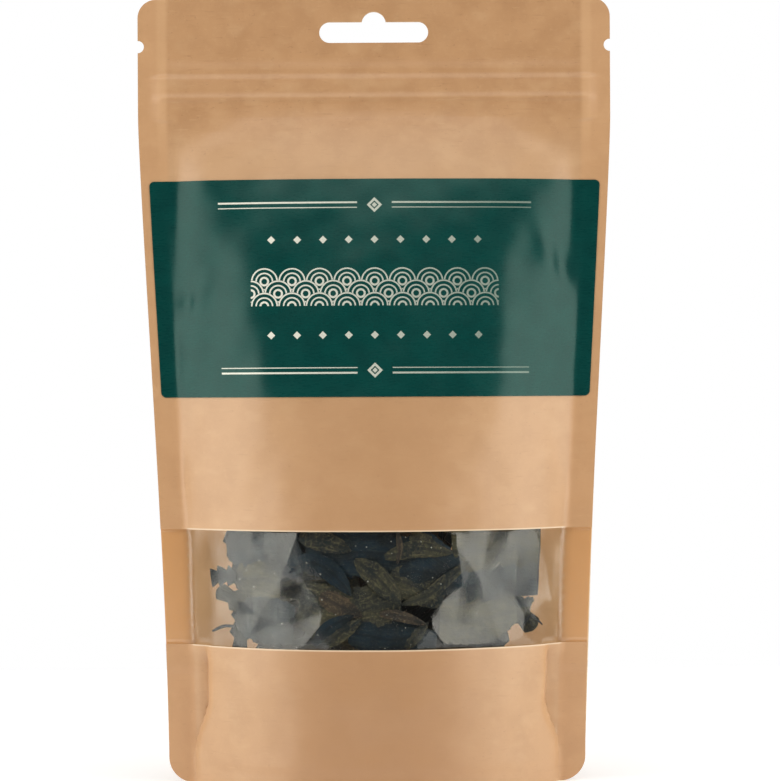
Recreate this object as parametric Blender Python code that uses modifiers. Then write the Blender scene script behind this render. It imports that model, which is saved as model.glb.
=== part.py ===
"""A stand-up pouch of kraft paper with a clear window strip, filled with dried serrated wrack.

Metres, +Z up. The pouch stands on its bottom rim at z = 0, its front faces -Y, and the plane y = 0 runs through
both side seams. Run with: blender --background --python part.py
"""

import math
import random
from dataclasses import dataclass
from functools import cache

import bmesh
import bpy
from mathutils import Euler, Matrix, Vector
from mathutils.bvhtree import BVHTree

MM = 0.001
SNAP = 0.01 * MM

# The pouch laid flat: how wide it is, how wide each side seam is, and how tall it stands.
FLAT_WIDTH = 140 * MM
SEAM_WIDTH = 8 * MM
HEIGHT = 232 * MM
HALF_WIDTH = FLAT_WIDTH / 2
WALL_HALF_ARC = HALF_WIDTH - SEAM_WIDTH

# The filled pouch: a wall between the seams bends to an arc and pulls the seams in. It stands out furthest up to
# FOOT_HEIGHT, and comes back to flat at PINCH_HEIGHT, just under the zip.
DEEPEST = 26.5 * MM
FOOT_HEIGHT = 8 * MM
PINCH_HEIGHT = 196 * MM
DEPTH_RISE_POWER = 1.5
DEPTH_FALL_POWER = 0.6

# Sheets, counted outwards from the middle layer, where the film and the gusset lie.
FILM_THICKNESS = 0.4 * MM
PAPER_THICKNESS = 0.6 * MM
LABEL_THICKNESS = 0.35 * MM
SHEET_GAP = 0.25 * MM
PAPER_INSIDE = FILM_THICKNESS / 2 + SHEET_GAP
LABEL_INSIDE = PAPER_INSIDE + PAPER_THICKNESS + SHEET_GAP

# The front, from the bottom up.
WINDOW_BOTTOM = 41 * MM
WINDOW_TOP = 75 * MM
FILM_OVERLAP = 6 * MM
LABEL_BOTTOM = 114 * MM
LABEL_TOP = 178 * MM
LABEL_HALF_WIDTH = 67.5 * MM
LABEL_CORNER = 1.5 * MM

# The zip: two strips, one with a groove between two lips and one with a rib that snaps into it.
ZIP_BOTTOM = 196.3 * MM
ZIP_TOP = 208.2 * MM
ZIP_LINE = 203.2 * MM
ZIP_HALF_LENGTH = 64 * MM
ZIP_RELIEF = 0.75 * MM
ZIP_LINE_RELIEF = 0.3 * MM
ZIP_RAMP = 1.5 * MM
FLANGE_THICKNESS = 0.4 * MM
FLANGE_INSIDE = 0.5 * MM
LIP_NEAR = 0.9 * MM
LIP_FAR = 1.7 * MM
LIP_REACH = 0.25 * MM
RIB_HALF_HEIGHT = 0.5 * MM

# The hang slot, a long hole with a hump over its middle, and the two tear notches.
SLOT_HALF_WIDTH = 16.15 * MM
SLOT_BOTTOM = 218.9 * MM
SLOT_TOP = 225.1 * MM
HUMP_TOP = 228.1 * MM
HUMP_RADIUS = 3.6 * MM
NOTCH_HEIGHT = 218 * MM
NOTCH_RADIUS = 1.6 * MM
TOP_CORNER = 5.5 * MM
BOTTOM_CORNER = 7.5 * MM
CUTTER_DEPTH = 20 * MM

# The folded web under the contents: a skirt along the bottom rim, then a tent whose ridge is low in the middle
# and climbs to the side seams.
GUSSET_THICKNESS = 0.4 * MM
GUSSET_HALF_ARC = 57 * MM
GUSSET_LIFT = 0.3 * MM
SKIRT_TOP = 4.5 * MM
RIDGE_MIDDLE = 15 * MM
RIDGE_ENDS = 37 * MM
RIDGE_POWER = 2.5
GUSSET_COLUMNS = 16
GUSSET_STEPS = (-1.0, -0.62, -0.28, 0.0, 0.28, 0.62, 1.0)

# Where the sheets are divided. All of them share these lines, so that they bend alike and never cross.
ARC_COLUMNS = 7
SEAM_LINES = (64.5 * MM, LABEL_HALF_WIDTH, HALF_WIDTH)
HEIGHTS = (
    0.0,
    FOOT_HEIGHT,
    18 * MM,
    28 * MM,
    WINDOW_BOTTOM - FILM_OVERLAP,
    WINDOW_BOTTOM,
    52 * MM,
    64 * MM,
    WINDOW_TOP,
    WINDOW_TOP + FILM_OVERLAP,
    92 * MM,
    103 * MM,
    LABEL_BOTTOM,
    127 * MM,
    140 * MM,
    153 * MM,
    166 * MM,
    LABEL_TOP,
    185 * MM,
    190.5 * MM,
    194.5 * MM,
    PINCH_HEIGHT,
    ZIP_LINE - ZIP_RAMP,
    ZIP_LINE,
    ZIP_LINE + ZIP_RAMP,
    ZIP_TOP + ZIP_RAMP / 4,
    ZIP_TOP + ZIP_RAMP,
    HEIGHT,
)
BACK_SKIPS = (18 * MM, 35 * MM, 64 * MM, 81 * MM, 103 * MM, 140 * MM, 166 * MM)

# The wrack: blades with saw teeth along both edges and a raised midrib, curled as they dried.
BLADE_THICKNESS = 0.7 * MM
RIB_THICKNESS = 1.5 * MM
TOOTH_PITCH = 5 * MM
TOOTH_HEIGHT = 1.5 * MM
TOOTH_PLACE = 0.72
TIP_NARROWING = 0.78
TIP_POWER = 2.2
FOOT_NARROWING = 0.72
STALK_HALF_WIDTH = 1.1 * MM
FORK_TURN = 0.42
BRANCH_HALF_WIDTH = 0.27
BLADE_CLEARANCE = 0.25 * MM
WALL_CLEARANCE = 2.2 * MM
GUSSET_CLEARANCE = 1.5 * MM
FILL_TOP = 112 * MM
BLADE_COUNT = 50
BLADE_SEED = 11
PLACE_TRIALS = 16
SLIDE_STEP = 1.5 * MM
SLIDE_FINE_STEP = 0.3 * MM

KRAFT = ((191, 150, 111), 0.78)
KRAFT_INSIDE = ((186, 146, 108), 0.7)
FILM = ((205, 208, 202), 0.12)
ZIP_PLASTIC = ((214, 208, 196), 0.35)
LABEL_GREEN = ((1, 69, 65), 0.38)
WRACK = ((30, 38, 36), 0.42)


def linear(rgb: tuple[int, int, int]) -> tuple[float, float, float, float]:
    """The linear colour of an 8-bit display colour, with full alpha."""
    parts = [value / 255 for value in rgb]
    curve = [part / 12.92 if part <= 0.04045 else ((part + 0.055) / 1.055) ** 2.4 for part in parts]
    return (*curve, 1.0)


def make_material(name: str, finish: tuple, alpha: float = 1.0) -> bpy.types.Material:
    """A Principled material from a display colour and a roughness."""
    colour, roughness = finish
    material = bpy.data.materials.new(name)
    material.use_nodes = True
    shader = material.node_tree.nodes["Principled BSDF"]
    shader.inputs["Base Color"].default_value = linear(colour)
    shader.inputs["Roughness"].default_value = roughness
    shader.inputs["Metallic"].default_value = 0.0
    shader.inputs["Alpha"].default_value = alpha
    return material


def add_object(name: str, mesh: bpy.types.Mesh, collection, material=None) -> bpy.types.Object:
    """Puts a mesh in the scene under its node's name."""
    mesh.name = name
    obj = bpy.data.objects.new(name, mesh)
    if material:
        mesh.materials.append(material)
    collection.objects.link(obj)
    return obj


def solidify(obj: bpy.types.Object, thickness: float, side: float) -> bpy.types.Modifier:
    """Gives an open sheet its thickness: outwards for side 1, half to each side for side 0."""
    modifier = obj.modifiers.new("thickness", "SOLIDIFY")
    modifier.thickness = thickness
    modifier.offset = side
    modifier.use_even_offset = True
    modifier.use_quality_normals = True
    return modifier


def half_depth(height: float) -> float:
    """How far the middle of a wall stands out from the seam plane at this height."""
    rise = (height - FOOT_HEIGHT) / (PINCH_HEIGHT - FOOT_HEIGHT)
    if rise <= 0:
        return DEEPEST
    if rise >= 1:
        return 0.0
    return DEEPEST * (1 - rise**DEPTH_RISE_POWER) ** DEPTH_FALL_POWER


def arc_angle(depth: float) -> float:
    """Half the angle of the arc that a wall of fixed width makes when its middle stands out by depth."""
    low = 1e-4
    high = 1.5
    for _ in range(40):
        middle = (low + high) / 2
        if WALL_HALF_ARC * (1 - math.cos(middle)) / middle < depth:
            low = middle
        else:
            high = middle
    return (low + high) / 2


@cache
def wall_arc(height: float) -> tuple[float, float]:
    """The radius of a wall's arc at this height, and how far its centre lies behind the seam plane."""
    angle = arc_angle(half_depth(height))
    radius = WALL_HALF_ARC / angle
    return radius, radius * math.cos(angle)


def zip_relief(across: float, height: float) -> float:
    """How far the zip behind a wall pushes it out here: a low band, with a line along its middle."""
    if abs(across) > LABEL_HALF_WIDTH - SNAP or not PINCH_HEIGHT - SNAP < height < ZIP_TOP + ZIP_RAMP - SNAP:
        return 0.0
    line = max(0.0, 1 - abs(height - ZIP_LINE) / ZIP_RAMP)
    return ZIP_RELIEF + ZIP_LINE_RELIEF * line


def wall_point(front: bool, across: float, height: float, offset: float) -> Vector:
    """The place of a point of the flat sheet on the filled pouch.

    Args:
        front: whether the sheet is the front wall or the back one.
        across: distance from the middle line along the sheet, to the right.
        height: distance above the bottom rim.
        offset: distance outwards from the middle layer.

    Returns:
        The point, in the pouch's frame.
    """
    offset += zip_relief(across, height)
    radius, behind = wall_arc(height)
    angle = WALL_HALF_ARC / radius
    side = math.copysign(1.0, across)
    beyond = abs(across) - WALL_HALF_ARC
    if beyond < -SNAP:
        turn = across / radius
        x = (radius + offset) * math.sin(turn)
        out = (radius + offset) * math.cos(turn) - behind
    else:
        lean = math.tan(angle / 2) if beyond < SNAP else 0.0
        x = side * (radius * math.sin(angle) + max(beyond, 0.0) + lean * offset)
        out = offset
    return Vector((x, -out if front else out, height))


def across_lines(limit: float) -> list[float]:
    """The upright dividing lines of a sheet that reaches to limit on both sides."""
    half = [WALL_HALF_ARC * step / ARC_COLUMNS for step in range(1, ARC_COLUMNS + 1)]
    half += [line for line in SEAM_LINES if line < limit + SNAP]
    return [-line for line in reversed(half)] + [0.0] + half


def height_lines(bottom: float, top: float) -> list[float]:
    """The level dividing lines of a sheet between two heights."""
    return [height for height in HEIGHTS if bottom - SNAP < height < top + SNAP]


def sheet_mesh(front: bool, columns: list[float], rows: list[float], offset: float, corner: float = 0.0):
    """An open sheet on a wall of the pouch, from a flat grid whose points are moved onto the filled shape."""
    grid = bmesh.new()
    bmesh.ops.create_grid(grid, x_segments=len(columns) - 1, y_segments=len(rows) - 1, size=1.0)
    for vert in grid.verts:
        column = round((vert.co.x + 1) / 2 * (len(columns) - 1))
        row = round((vert.co.y + 1) / 2 * (len(rows) - 1))
        vert.co = Vector((columns[column], rows[row], 0.0))
    if corner:
        ends = [vert for vert in grid.verts if len(vert.link_edges) == 2]
        bmesh.ops.bevel(grid, geom=ends, offset=corner, segments=3, profile=0.5, affect="VERTICES")
    bmesh.ops.triangulate(grid, faces=[face for face in grid.faces if len(face.verts) > 4])
    for vert in grid.verts:
        vert.co = wall_point(front, vert.co.x, vert.co.y, offset)
    if not front:
        bmesh.ops.reverse_faces(grid, faces=grid.faces)
    mesh = bpy.data.meshes.new("sheet")
    grid.to_mesh(mesh)
    grid.free()
    return mesh


def outline_solid(name: str, outline: list[tuple[float, float]], depth: float, collection, material=None):
    """A solid of one flat outline in X and Z, as deep as asked along Y, from a filled 2D curve."""
    curve = bpy.data.curves.new(name, "CURVE")
    curve.dimensions = "2D"
    curve.fill_mode = "BOTH"
    curve.extrude = depth / 2
    spline = curve.splines.new("POLY")
    spline.points.add(len(outline) - 1)
    for point, place in zip(spline.points, outline):
        point.co = (*place, 0.0, 1.0)
    spline.use_cyclic_u = True
    source = bpy.data.objects.new(name + "_outline", curve)
    collection.objects.link(source)
    source.rotation_euler.x = math.pi / 2
    bpy.context.view_layer.update()
    mesh = bpy.data.meshes.new_from_object(source.evaluated_get(bpy.context.evaluated_depsgraph_get()))
    mesh.transform(source.matrix_world)
    bpy.data.objects.remove(source)
    bpy.data.curves.remove(curve)
    welded = bmesh.new()
    welded.from_mesh(mesh)
    bmesh.ops.remove_doubles(welded, verts=welded.verts, dist=SNAP)
    bmesh.ops.recalc_face_normals(welded, faces=welded.faces)
    welded.to_mesh(mesh)
    welded.free()
    return add_object(name, mesh, collection, material)


def arc_points(centre: tuple[float, float], radius: float, start: float, end: float, steps: int) -> list:
    """Points along an arc in X and Z, with its angles in degrees."""
    angles = [math.radians(start + (end - start) * step / steps) for step in range(steps + 1)]
    return [(centre[0] + radius * math.cos(a), centre[1] + radius * math.sin(a)) for a in angles]


def slot_outline() -> list[tuple[float, float]]:
    """The hang slot: a long hole with round ends and a hump over its middle."""
    end_radius = (SLOT_TOP - SLOT_BOTTOM) / 2
    middle = (SLOT_TOP + SLOT_BOTTOM) / 2
    hump_centre = HUMP_TOP - HUMP_RADIUS
    lean = math.degrees(math.asin((SLOT_TOP - hump_centre) / HUMP_RADIUS))
    right = arc_points((SLOT_HALF_WIDTH - end_radius, middle), end_radius, -90, 90, 6)
    hump = arc_points((0.0, hump_centre), HUMP_RADIUS, lean, 180 - lean, 7)
    left = arc_points((end_radius - SLOT_HALF_WIDTH, middle), end_radius, 90, 270, 6)
    return right + hump + left


def corner_outline(side: float, x_edge: float, z_edge: float, up: float, radius: float) -> list:
    """What a round corner takes off a square one: the corner's outside, back to the arc."""
    reach = 2 * MM
    centre = (side * (x_edge - radius), z_edge - up * radius)
    angles = (0.0, up * 90.0) if side > 0 else (180.0, 180.0 - up * 90.0)
    arc = arc_points(centre, radius, *angles, 5)
    outer_x = side * (x_edge + reach)
    outer_z = z_edge + up * reach
    return [(outer_x, arc[0][1]), *arc, (arc[-1][0], outer_z), (outer_x, outer_z)]


def make_cutters(collection) -> dict[str, list[bpy.types.Object]]:
    """The cutters of the top edge, with the slot and the notches, and those of the bottom corners."""
    slot = outline_solid("cutter_hang_slot", slot_outline(), CUTTER_DEPTH, collection)
    top = [slot]
    bottom = []
    foot_edge = wall_point(True, HALF_WIDTH, 0.0, 0.0).x
    for label, side in (("left", -1.0), ("right", 1.0)):
        notch = arc_points((side * HALF_WIDTH, NOTCH_HEIGHT), NOTCH_RADIUS, 0, 330, 11)
        top.append(outline_solid(f"cutter_notch_{label}", notch, CUTTER_DEPTH, collection))
        above = corner_outline(side, HALF_WIDTH, HEIGHT, 1.0, TOP_CORNER)
        top.append(outline_solid(f"cutter_top_{label}", above, CUTTER_DEPTH, collection))
        below = corner_outline(side, foot_edge, 0.0, -1.0, BOTTOM_CORNER)
        bottom.append(outline_solid(f"cutter_bottom_{label}", below, CUTTER_DEPTH, collection))
    for cutter in top + bottom:
        cutter.hide_render = True
        cutter.display_type = "WIRE"
    return {"top": top, "bottom": bottom}


def cut(obj: bpy.types.Object, cutters: list[bpy.types.Object]) -> None:
    """Takes each cutter out of the object."""
    for cutter in cutters:
        modifier = obj.modifiers.new(cutter.name, "BOOLEAN")
        modifier.operation = "DIFFERENCE"
        modifier.object = cutter


def make_papers(collection, cutters: dict) -> None:
    """The two lanes of kraft paper on the front, and the back wall."""
    paper = make_material("kraft_paper", KRAFT)
    full = across_lines(HALF_WIDTH)
    upper_mesh = sheet_mesh(True, full, height_lines(WINDOW_TOP, HEIGHT), PAPER_INSIDE)
    upper = add_object("front_paper_upper", upper_mesh, collection, paper)
    solidify(upper, PAPER_THICKNESS, 1.0)
    cut(upper, cutters["top"])
    lower_mesh = sheet_mesh(True, full, height_lines(0.0, WINDOW_BOTTOM), PAPER_INSIDE)
    lower = add_object("front_paper_lower", lower_mesh, collection, paper)
    solidify(lower, PAPER_THICKNESS, 1.0)
    cut(lower, cutters["bottom"])
    back_rows = [height for height in HEIGHTS if all(abs(height - skip) > SNAP for skip in BACK_SKIPS)]
    back_mesh = sheet_mesh(False, full, back_rows, PAPER_INSIDE)
    back = add_object("back_panel", back_mesh, collection, make_material("kraft_back", KRAFT_INSIDE))
    solidify(back, PAPER_THICKNESS, 1.0)
    cut(back, cutters["top"] + cutters["bottom"])


def make_window(collection) -> None:
    """The clear strip behind the gap between the two paper lanes, welded in from seam to seam."""
    rows = height_lines(WINDOW_BOTTOM - FILM_OVERLAP, WINDOW_TOP + FILM_OVERLAP)
    mesh = sheet_mesh(True, across_lines(HALF_WIDTH), rows, -FILM_THICKNESS / 2)
    film = add_object("window_film", mesh, collection, make_material("clear_film", FILM, 0.3))
    solidify(film, FILM_THICKNESS, 1.0)


def make_label(collection) -> None:
    """The label on the upper lane, with small round corners."""
    rows = height_lines(LABEL_BOTTOM, LABEL_TOP)
    mesh = sheet_mesh(True, across_lines(LABEL_HALF_WIDTH), rows, LABEL_INSIDE, LABEL_CORNER)
    label = add_object("label", mesh, collection, make_material("label_print", LABEL_GREEN))
    solidify(label, LABEL_THICKNESS, 1.0)


def zip_outline(bumps: list[tuple[float, float]], reach: float) -> list[tuple[float, float]]:
    """A zip strip's section in depth and height: a flange, with bumps that stand inwards from it."""
    outline = [(-FLANGE_THICKNESS, ZIP_BOTTOM), (0.0, ZIP_BOTTOM)]
    for low, high in bumps:
        outline += [(0.0, low), (reach, low), (reach, high), (0.0, high)]
    return outline + [(0.0, ZIP_TOP), (-FLANGE_THICKNESS, ZIP_TOP)]


def make_zip(collection) -> None:
    """The two zip strips, pressed shut: the groove's lips stand either side of the rib."""
    plastic = make_material("zip_plastic", ZIP_PLASTIC)
    reach = FLANGE_INSIDE + LIP_REACH
    lips = [(ZIP_LINE - LIP_FAR, ZIP_LINE - LIP_NEAR), (ZIP_LINE + LIP_NEAR, ZIP_LINE + LIP_FAR)]
    rib = [(ZIP_LINE - RIB_HALF_HEIGHT, ZIP_LINE + RIB_HALF_HEIGHT)]
    for name, bumps, turn in (("zip_groove_strip", lips, 1.0), ("zip_rib_strip", rib, -1.0)):
        strip = outline_solid(name, zip_outline(bumps, reach), 2 * ZIP_HALF_LENGTH, collection, plastic)
        strip.location.y = -turn * FLANGE_INSIDE
        strip.rotation_euler.z = turn * math.pi / 2


def ridge_height(x: float) -> float:
    """The height of the gusset's ridge at this distance from the middle."""
    radius, _ = wall_arc(FOOT_HEIGHT)
    reach = radius * math.sin(WALL_HALF_ARC / radius)
    return RIDGE_MIDDLE + (RIDGE_ENDS - RIDGE_MIDDLE) * min(abs(x) / reach, 1.0) ** RIDGE_POWER


def tent_height(x: float, share: float) -> float:
    """The gusset's height where y is this share of the wall's depth: a round-topped tent."""
    return SKIRT_TOP + (ridge_height(x) - SKIRT_TOP) * (1 - share * share)


def make_gusset(collection) -> None:
    """The bottom web: a skirt inside each wall's rim, and a saddle between them."""
    profile = [(-1.0, GUSSET_LIFT)] + [(share, None) for share in GUSSET_STEPS] + [(1.0, GUSSET_LIFT)]
    grid = bmesh.new()
    bmesh.ops.create_grid(grid, x_segments=GUSSET_COLUMNS, y_segments=len(profile) - 1, size=1.0)
    for vert in grid.verts:
        share, lift = profile[round((vert.co.y + 1) / 2 * (len(profile) - 1))]
        foot = wall_point(True, vert.co.x * GUSSET_HALF_ARC, 0.0, -GUSSET_THICKNESS / 8)
        height = tent_height(foot.x, share) if lift is None else lift
        vert.co = Vector((foot.x, -foot.y * share, height))
    mesh = bpy.data.meshes.new("gusset")
    grid.to_mesh(mesh)
    grid.free()
    gusset = add_object("bottom_gusset", mesh, collection, make_material("kraft_gusset", KRAFT_INSIDE))
    solidify(gusset, GUSSET_THICKNESS, 0.0)


@dataclass(frozen=True)
class Blade:
    """One dried piece: its flat outline, and how it curled.

    Attributes:
        length: from its broken foot to its tip, along the middle.
        width: across the blade, without the teeth.
        fork: share of the length at which it forks in two, or 1 for a plain blade.
        stalk: how many steps of the foot are a bare stalk, left when the blade's edges wore away.
        cup: how far each edge curls up from the midrib, as a share of the width.
        bend: the angle through which its length curves, in radians.
        twist: the angle from foot to tip about its own length, in radians.
        ruffle: height of the waves along its edges.
        phase: where those waves start, in radians.
    """

    length: float
    width: float
    fork: float = 1.0
    cup: float = 0.1
    bend: float = 0.5
    twist: float = 0.3
    stalk: int = 0
    ruffle: float = 0.8 * MM
    phase: float = 0.0


@dataclass(frozen=True)
class Pose:
    """Where a blade lies: its middle, and its turns about X, Y and Z in degrees."""

    x: float
    z: float
    tilt: float
    turn: float
    yaw: float


# The pieces that lie against the window, as the front shows them.
FRONT_BLADES = (
    (Blade(44 * MM, 10 * MM, 1.0, 0.16, 1.5, 0.3), Pose(-14 * MM, 58 * MM, 8, 118, -12)),
    (Blade(34 * MM, 11 * MM, 1.0, 0.26, 0.4, 0.5), Pose(3 * MM, 57 * MM, -10, 48, 14)),
    (Blade(46 * MM, 8 * MM, 1.0, 0.22, 0.4, 0.9), Pose(20 * MM, 60 * MM, 6, 152, 10)),
    (Blade(40 * MM, 12 * MM, 0.5, 0.08, 0.5, 0.2), Pose(0 * MM, 74 * MM, 10, 176, 4)),
    (Blade(36 * MM, 10 * MM, 1.0, 0.20, 0.6, 0.4), Pose(9 * MM, 45 * MM, -8, 14, -6)),
    (Blade(48 * MM, 11 * MM, 0.5, 0.12, 0.7, 0.3), Pose(-34 * MM, 60 * MM, 4, 200, -34)),
    (Blade(42 * MM, 12 * MM, 0.5, 0.10, 0.6, -0.3), Pose(36 * MM, 56 * MM, -4, -24, 36)),
    (Blade(40 * MM, 10 * MM, 1.0, 0.18, 0.8, 0.5), Pose(-22 * MM, 43 * MM, -6, 36, -22)),
)


class FlatBlade:
    """The flat outline of a blade, with its teeth, built station by station.

    Args:
        blade: the piece to build.
    """

    def __init__(self, blade: Blade) -> None:
        self.blade = blade
        self.mesh = bmesh.new()
        self.ribs: set[bmesh.types.BMVert] = set()
        foot = Vector((0.0, 0.0))
        stations = self.run(foot, 0.0, blade.length * blade.fork, blade.width / 2, blade.fork == 1.0)
        if blade.fork < 1.0:
            self.split(stations)
        bmesh.ops.triangulate(self.mesh, faces=self.mesh.faces)

    def point(self, place: Vector, rib: bool = False) -> bmesh.types.BMVert:
        """Adds a point of the outline, or of the midrib."""
        vert = self.mesh.verts.new((place.x, place.y, 0.0))
        if rib:
            self.ribs.add(vert)
        return vert

    def run(self, foot: Vector, heading: float, length: float, half: float, tipped: bool, base=None) -> list:
        """A ribbon of the blade, from its foot on, with a tooth in each step of both edges.

        Args:
            foot: where its midrib starts.
            heading: its direction, in radians from the blade's own length.
            length: its length.
            half: its half-width.
            tipped: whether it narrows to a tip at its end.
            base: the three points that it grows from, or None for a broken foot.

        Returns:
            The three points of each station: one edge, the midrib and the other edge.
        """
        steps = max(2, round(length / TOOTH_PITCH))
        along = Vector((math.cos(heading), math.sin(heading)))
        left = Vector((-along.y, along.x))
        stations = [base] if base else []
        stalk = 0 if base else self.blade.stalk
        for step in range(len(stations), steps + 1):
            share = step / steps
            wide = half * (1 - TIP_NARROWING * share**TIP_POWER if tipped else 1.0)
            if step < stalk:
                wide = STALK_HALF_WIDTH
            elif step == 0 and not base:
                wide *= FOOT_NARROWING
            centre = foot + along * (length * share)
            edges = (centre + left * wide, centre - left * wide)
            rib = self.point(centre, rib=True)
            stations.append((self.point(edges[0]), rib, self.point(edges[1])))
        for step, (lower, upper) in enumerate(zip(stations, stations[1:])):
            plain = step < stalk or (base is not None and step == 0)
            for edge, outwards in ((0, left), (2, -left)):
                self.side(lower, upper, edge, outwards, plain)
        return stations

    def side(self, lower: tuple, upper: tuple, edge: int, outwards: Vector, plain: bool) -> None:
        """One step of the ribbon from the midrib to one edge, with its tooth unless it is plain."""
        loop = [lower[1], lower[edge], upper[edge], upper[1]]
        self.face(loop, edge)
        if plain:
            return
        start = lower[edge].co.xy
        end = upper[edge].co.xy
        place = start.lerp(end, TOOTH_PLACE) + outwards * TOOTH_HEIGHT
        self.face([lower[edge], self.point(place), upper[edge]], edge)

    def face(self, loop: list, edge: int) -> None:
        """Adds a face, turned so that all of the blade's faces look the same way."""
        self.mesh.faces.new(loop if edge else list(reversed(loop)))

    def split(self, stations: list) -> None:
        """Forks the ribbon: each half of its last station becomes the foot of a branch."""
        left, middle, right = stations[-1]
        self.ribs.discard(middle)
        branch_length = self.blade.length * (1 - self.blade.fork)
        for near, side in ((left, 1.0), (right, -1.0)):
            edge = next(e for e in middle.link_edges if near in e.verts)
            _, rib = bmesh.utils.edge_split(edge, middle, 0.5)
            self.ribs.add(rib)
            base = (near, rib, middle) if side > 0 else (middle, rib, near)
            foot = rib.co.xy.copy()
            half = self.blade.width * BRANCH_HALF_WIDTH
            self.run(foot, side * FORK_TURN, branch_length, half, True, base)

    def curled(self) -> bmesh.types.BMesh:
        """The blade's open surface as it dried: cupped, waved, bent and twisted about its middle."""
        blade = self.blade
        for vert in self.mesh.verts:
            along, across = vert.co.x, vert.co.y
            share = along / blade.length - 0.5
            out = 2 * across / blade.width
            lift = blade.cup * blade.width * min(out * out, 4.0) / 2
            lift += blade.ruffle * min(abs(out), 1.5) * math.sin(9 * share + blade.phase + math.copysign(1, out))
            spin = blade.twist * share
            across, lift = (
                across * math.cos(spin) - lift * math.sin(spin),
                across * math.sin(spin) + lift * math.cos(spin),
            )
            radius = blade.length / max(abs(blade.bend), 0.05)
            swing = share * blade.length / radius
            vert.co = Vector(
                ((radius - lift) * math.sin(swing), across, lift + (radius - lift) * (1 - math.cos(swing)))
            )
        self.mesh.normal_update()
        return self.mesh


def pose_matrix(pose: Pose, depth: float) -> Matrix:
    """Lays a blade's face towards the front, then turns it and puts it in place."""
    turns = Euler([math.radians(v) for v in (pose.tilt, 0.0, pose.yaw)]).to_matrix().to_4x4()
    in_plane = Matrix.Rotation(math.radians(-pose.turn), 4, "Y")
    facing = Matrix.Rotation(math.pi / 2, 4, "X")
    return Matrix.Translation((pose.x, depth, pose.z)) @ turns @ in_plane @ facing


def room_left(point: Vector) -> float:
    """How far a point is inside the space for the wrack: below zero is outside it."""
    radius, behind = wall_arc(round(point.z, 3))
    to_front = radius - WALL_CLEARANCE - math.hypot(point.x, point.y - behind)
    to_back = radius - WALL_CLEARANCE - math.hypot(point.x, point.y + behind)
    wall = max(math.sqrt(max(radius**2 - point.x**2, 0.0)) - behind, MM)
    share = min(abs(point.y) / wall, 1.0)
    to_gusset = point.z - tent_height(point.x, share) - GUSSET_CLEARANCE
    return min(to_front, to_back, to_gusset, FILL_TOP - point.z)


class WrackPile:
    """Lays blades in the pouch one by one, each slid forwards until it would touch what lies there."""

    def __init__(self) -> None:
        self.points: list[Vector] = []
        self.faces: list[list[int]] = []
        self.tree: BVHTree | None = None

    def shell(self, surface: bmesh.types.BMesh) -> tuple[list[Vector], list[list[int]]]:
        """Both faces and the rim of a blade, a clearance thicker than it is, for testing what it touches."""
        surface.verts.index_update()
        reach = RIB_THICKNESS / 2 + BLADE_CLEARANCE
        count = len(surface.verts)
        points = [vert.co + vert.normal * reach for vert in surface.verts]
        points += [vert.co - vert.normal * reach for vert in surface.verts]
        faces = [[vert.index for vert in face.verts] for face in surface.faces]
        faces += [[count + index for index in face] for face in faces]
        for edge in surface.edges:
            if edge.is_boundary:
                near, far = (vert.index for vert in edge.verts)
                faces.append([near, far, count + far, count + near])
        return points, faces

    def free(self, points: list[Vector], faces: list[list[int]]) -> bool:
        """Whether a blade is inside the pouch and clear of the blades that lie there."""
        if any(room_left(point) < 0 for point in points):
            return False
        return self.tree is None or not BVHTree.FromPolygons(points, faces).overlap(self.tree)

    def rest_depth(self, shell: tuple, pose: Pose) -> float | None:
        """The depth at which a blade comes to lie, slid forwards from the back, or None if it has no room."""
        points, faces = shell
        depth = DEEPEST - WALL_CLEARANCE
        found = None
        step = SLIDE_STEP
        while depth > -DEEPEST:
            matrix = pose_matrix(pose, depth)
            if self.free([matrix @ point for point in points], faces):
                found = depth
            elif found is not None and step == SLIDE_STEP:
                depth = found
                step = SLIDE_FINE_STEP
            elif found is not None:
                return found
            depth -= step
        return found

    def lay(self, shell: tuple, pose: Pose, depth: float) -> Matrix:
        """Adds a blade to the pile and returns its place."""
        points, faces = shell
        matrix = pose_matrix(pose, depth)
        start = len(self.points)
        self.points += [matrix @ point for point in points]
        self.faces += [[start + index for index in face] for face in faces]
        self.tree = BVHTree.FromPolygons(self.points, self.faces)
        return matrix


def drawn_blade(draw: random.Random) -> Blade:
    """A piece of the pile behind the front ones: a third of them fork."""
    forked = draw.random() < 0.35
    return Blade(
        length=draw.uniform(28, 46) * MM,
        width=draw.uniform(8, 13) * MM,
        fork=0.5 if forked else 1.0,
        cup=draw.uniform(0.04, 0.22),
        bend=draw.uniform(0.3, 1.2),
        twist=draw.uniform(-0.7, 0.7),
        stalk=0 if forked else draw.choice((0, 0, 0, 2, 3)),
        ruffle=draw.uniform(0.3, 0.9) * MM,
        phase=draw.uniform(0, math.tau),
    )


def drawn_pose(draw: random.Random) -> Pose:
    """A place in the filled part of the pouch, facing the wall in front of it."""
    x = draw.uniform(-44, 44) * MM
    return Pose(
        x=x,
        z=draw.uniform(32, 100) * MM,
        tilt=draw.uniform(-28, 28),
        turn=draw.uniform(0, 360),
        yaw=math.degrees(math.asin(x / (75 * MM))) + draw.uniform(-22, 22),
    )


def add_blade(number: int, surface: bmesh.types.BMesh, ribs: set, matrix: Matrix, collection, material) -> None:
    """Makes a node of a blade: its surface with a thickness, more along the midrib."""
    mesh = bpy.data.meshes.new("blade")
    rib_indices = [vert.index for vert in ribs]
    surface.to_mesh(mesh)
    obj = add_object(f"wrack_blade_{number:02d}", mesh, collection, material)
    obj.matrix_world = matrix
    group = obj.vertex_groups.new(name="midrib")
    group.add(range(len(mesh.vertices)), BLADE_THICKNESS / RIB_THICKNESS, "REPLACE")
    group.add(rib_indices, 1.0, "REPLACE")
    modifier = solidify(obj, RIB_THICKNESS, 0.0)
    modifier.use_even_offset = False
    modifier.vertex_group = "midrib"


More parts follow.
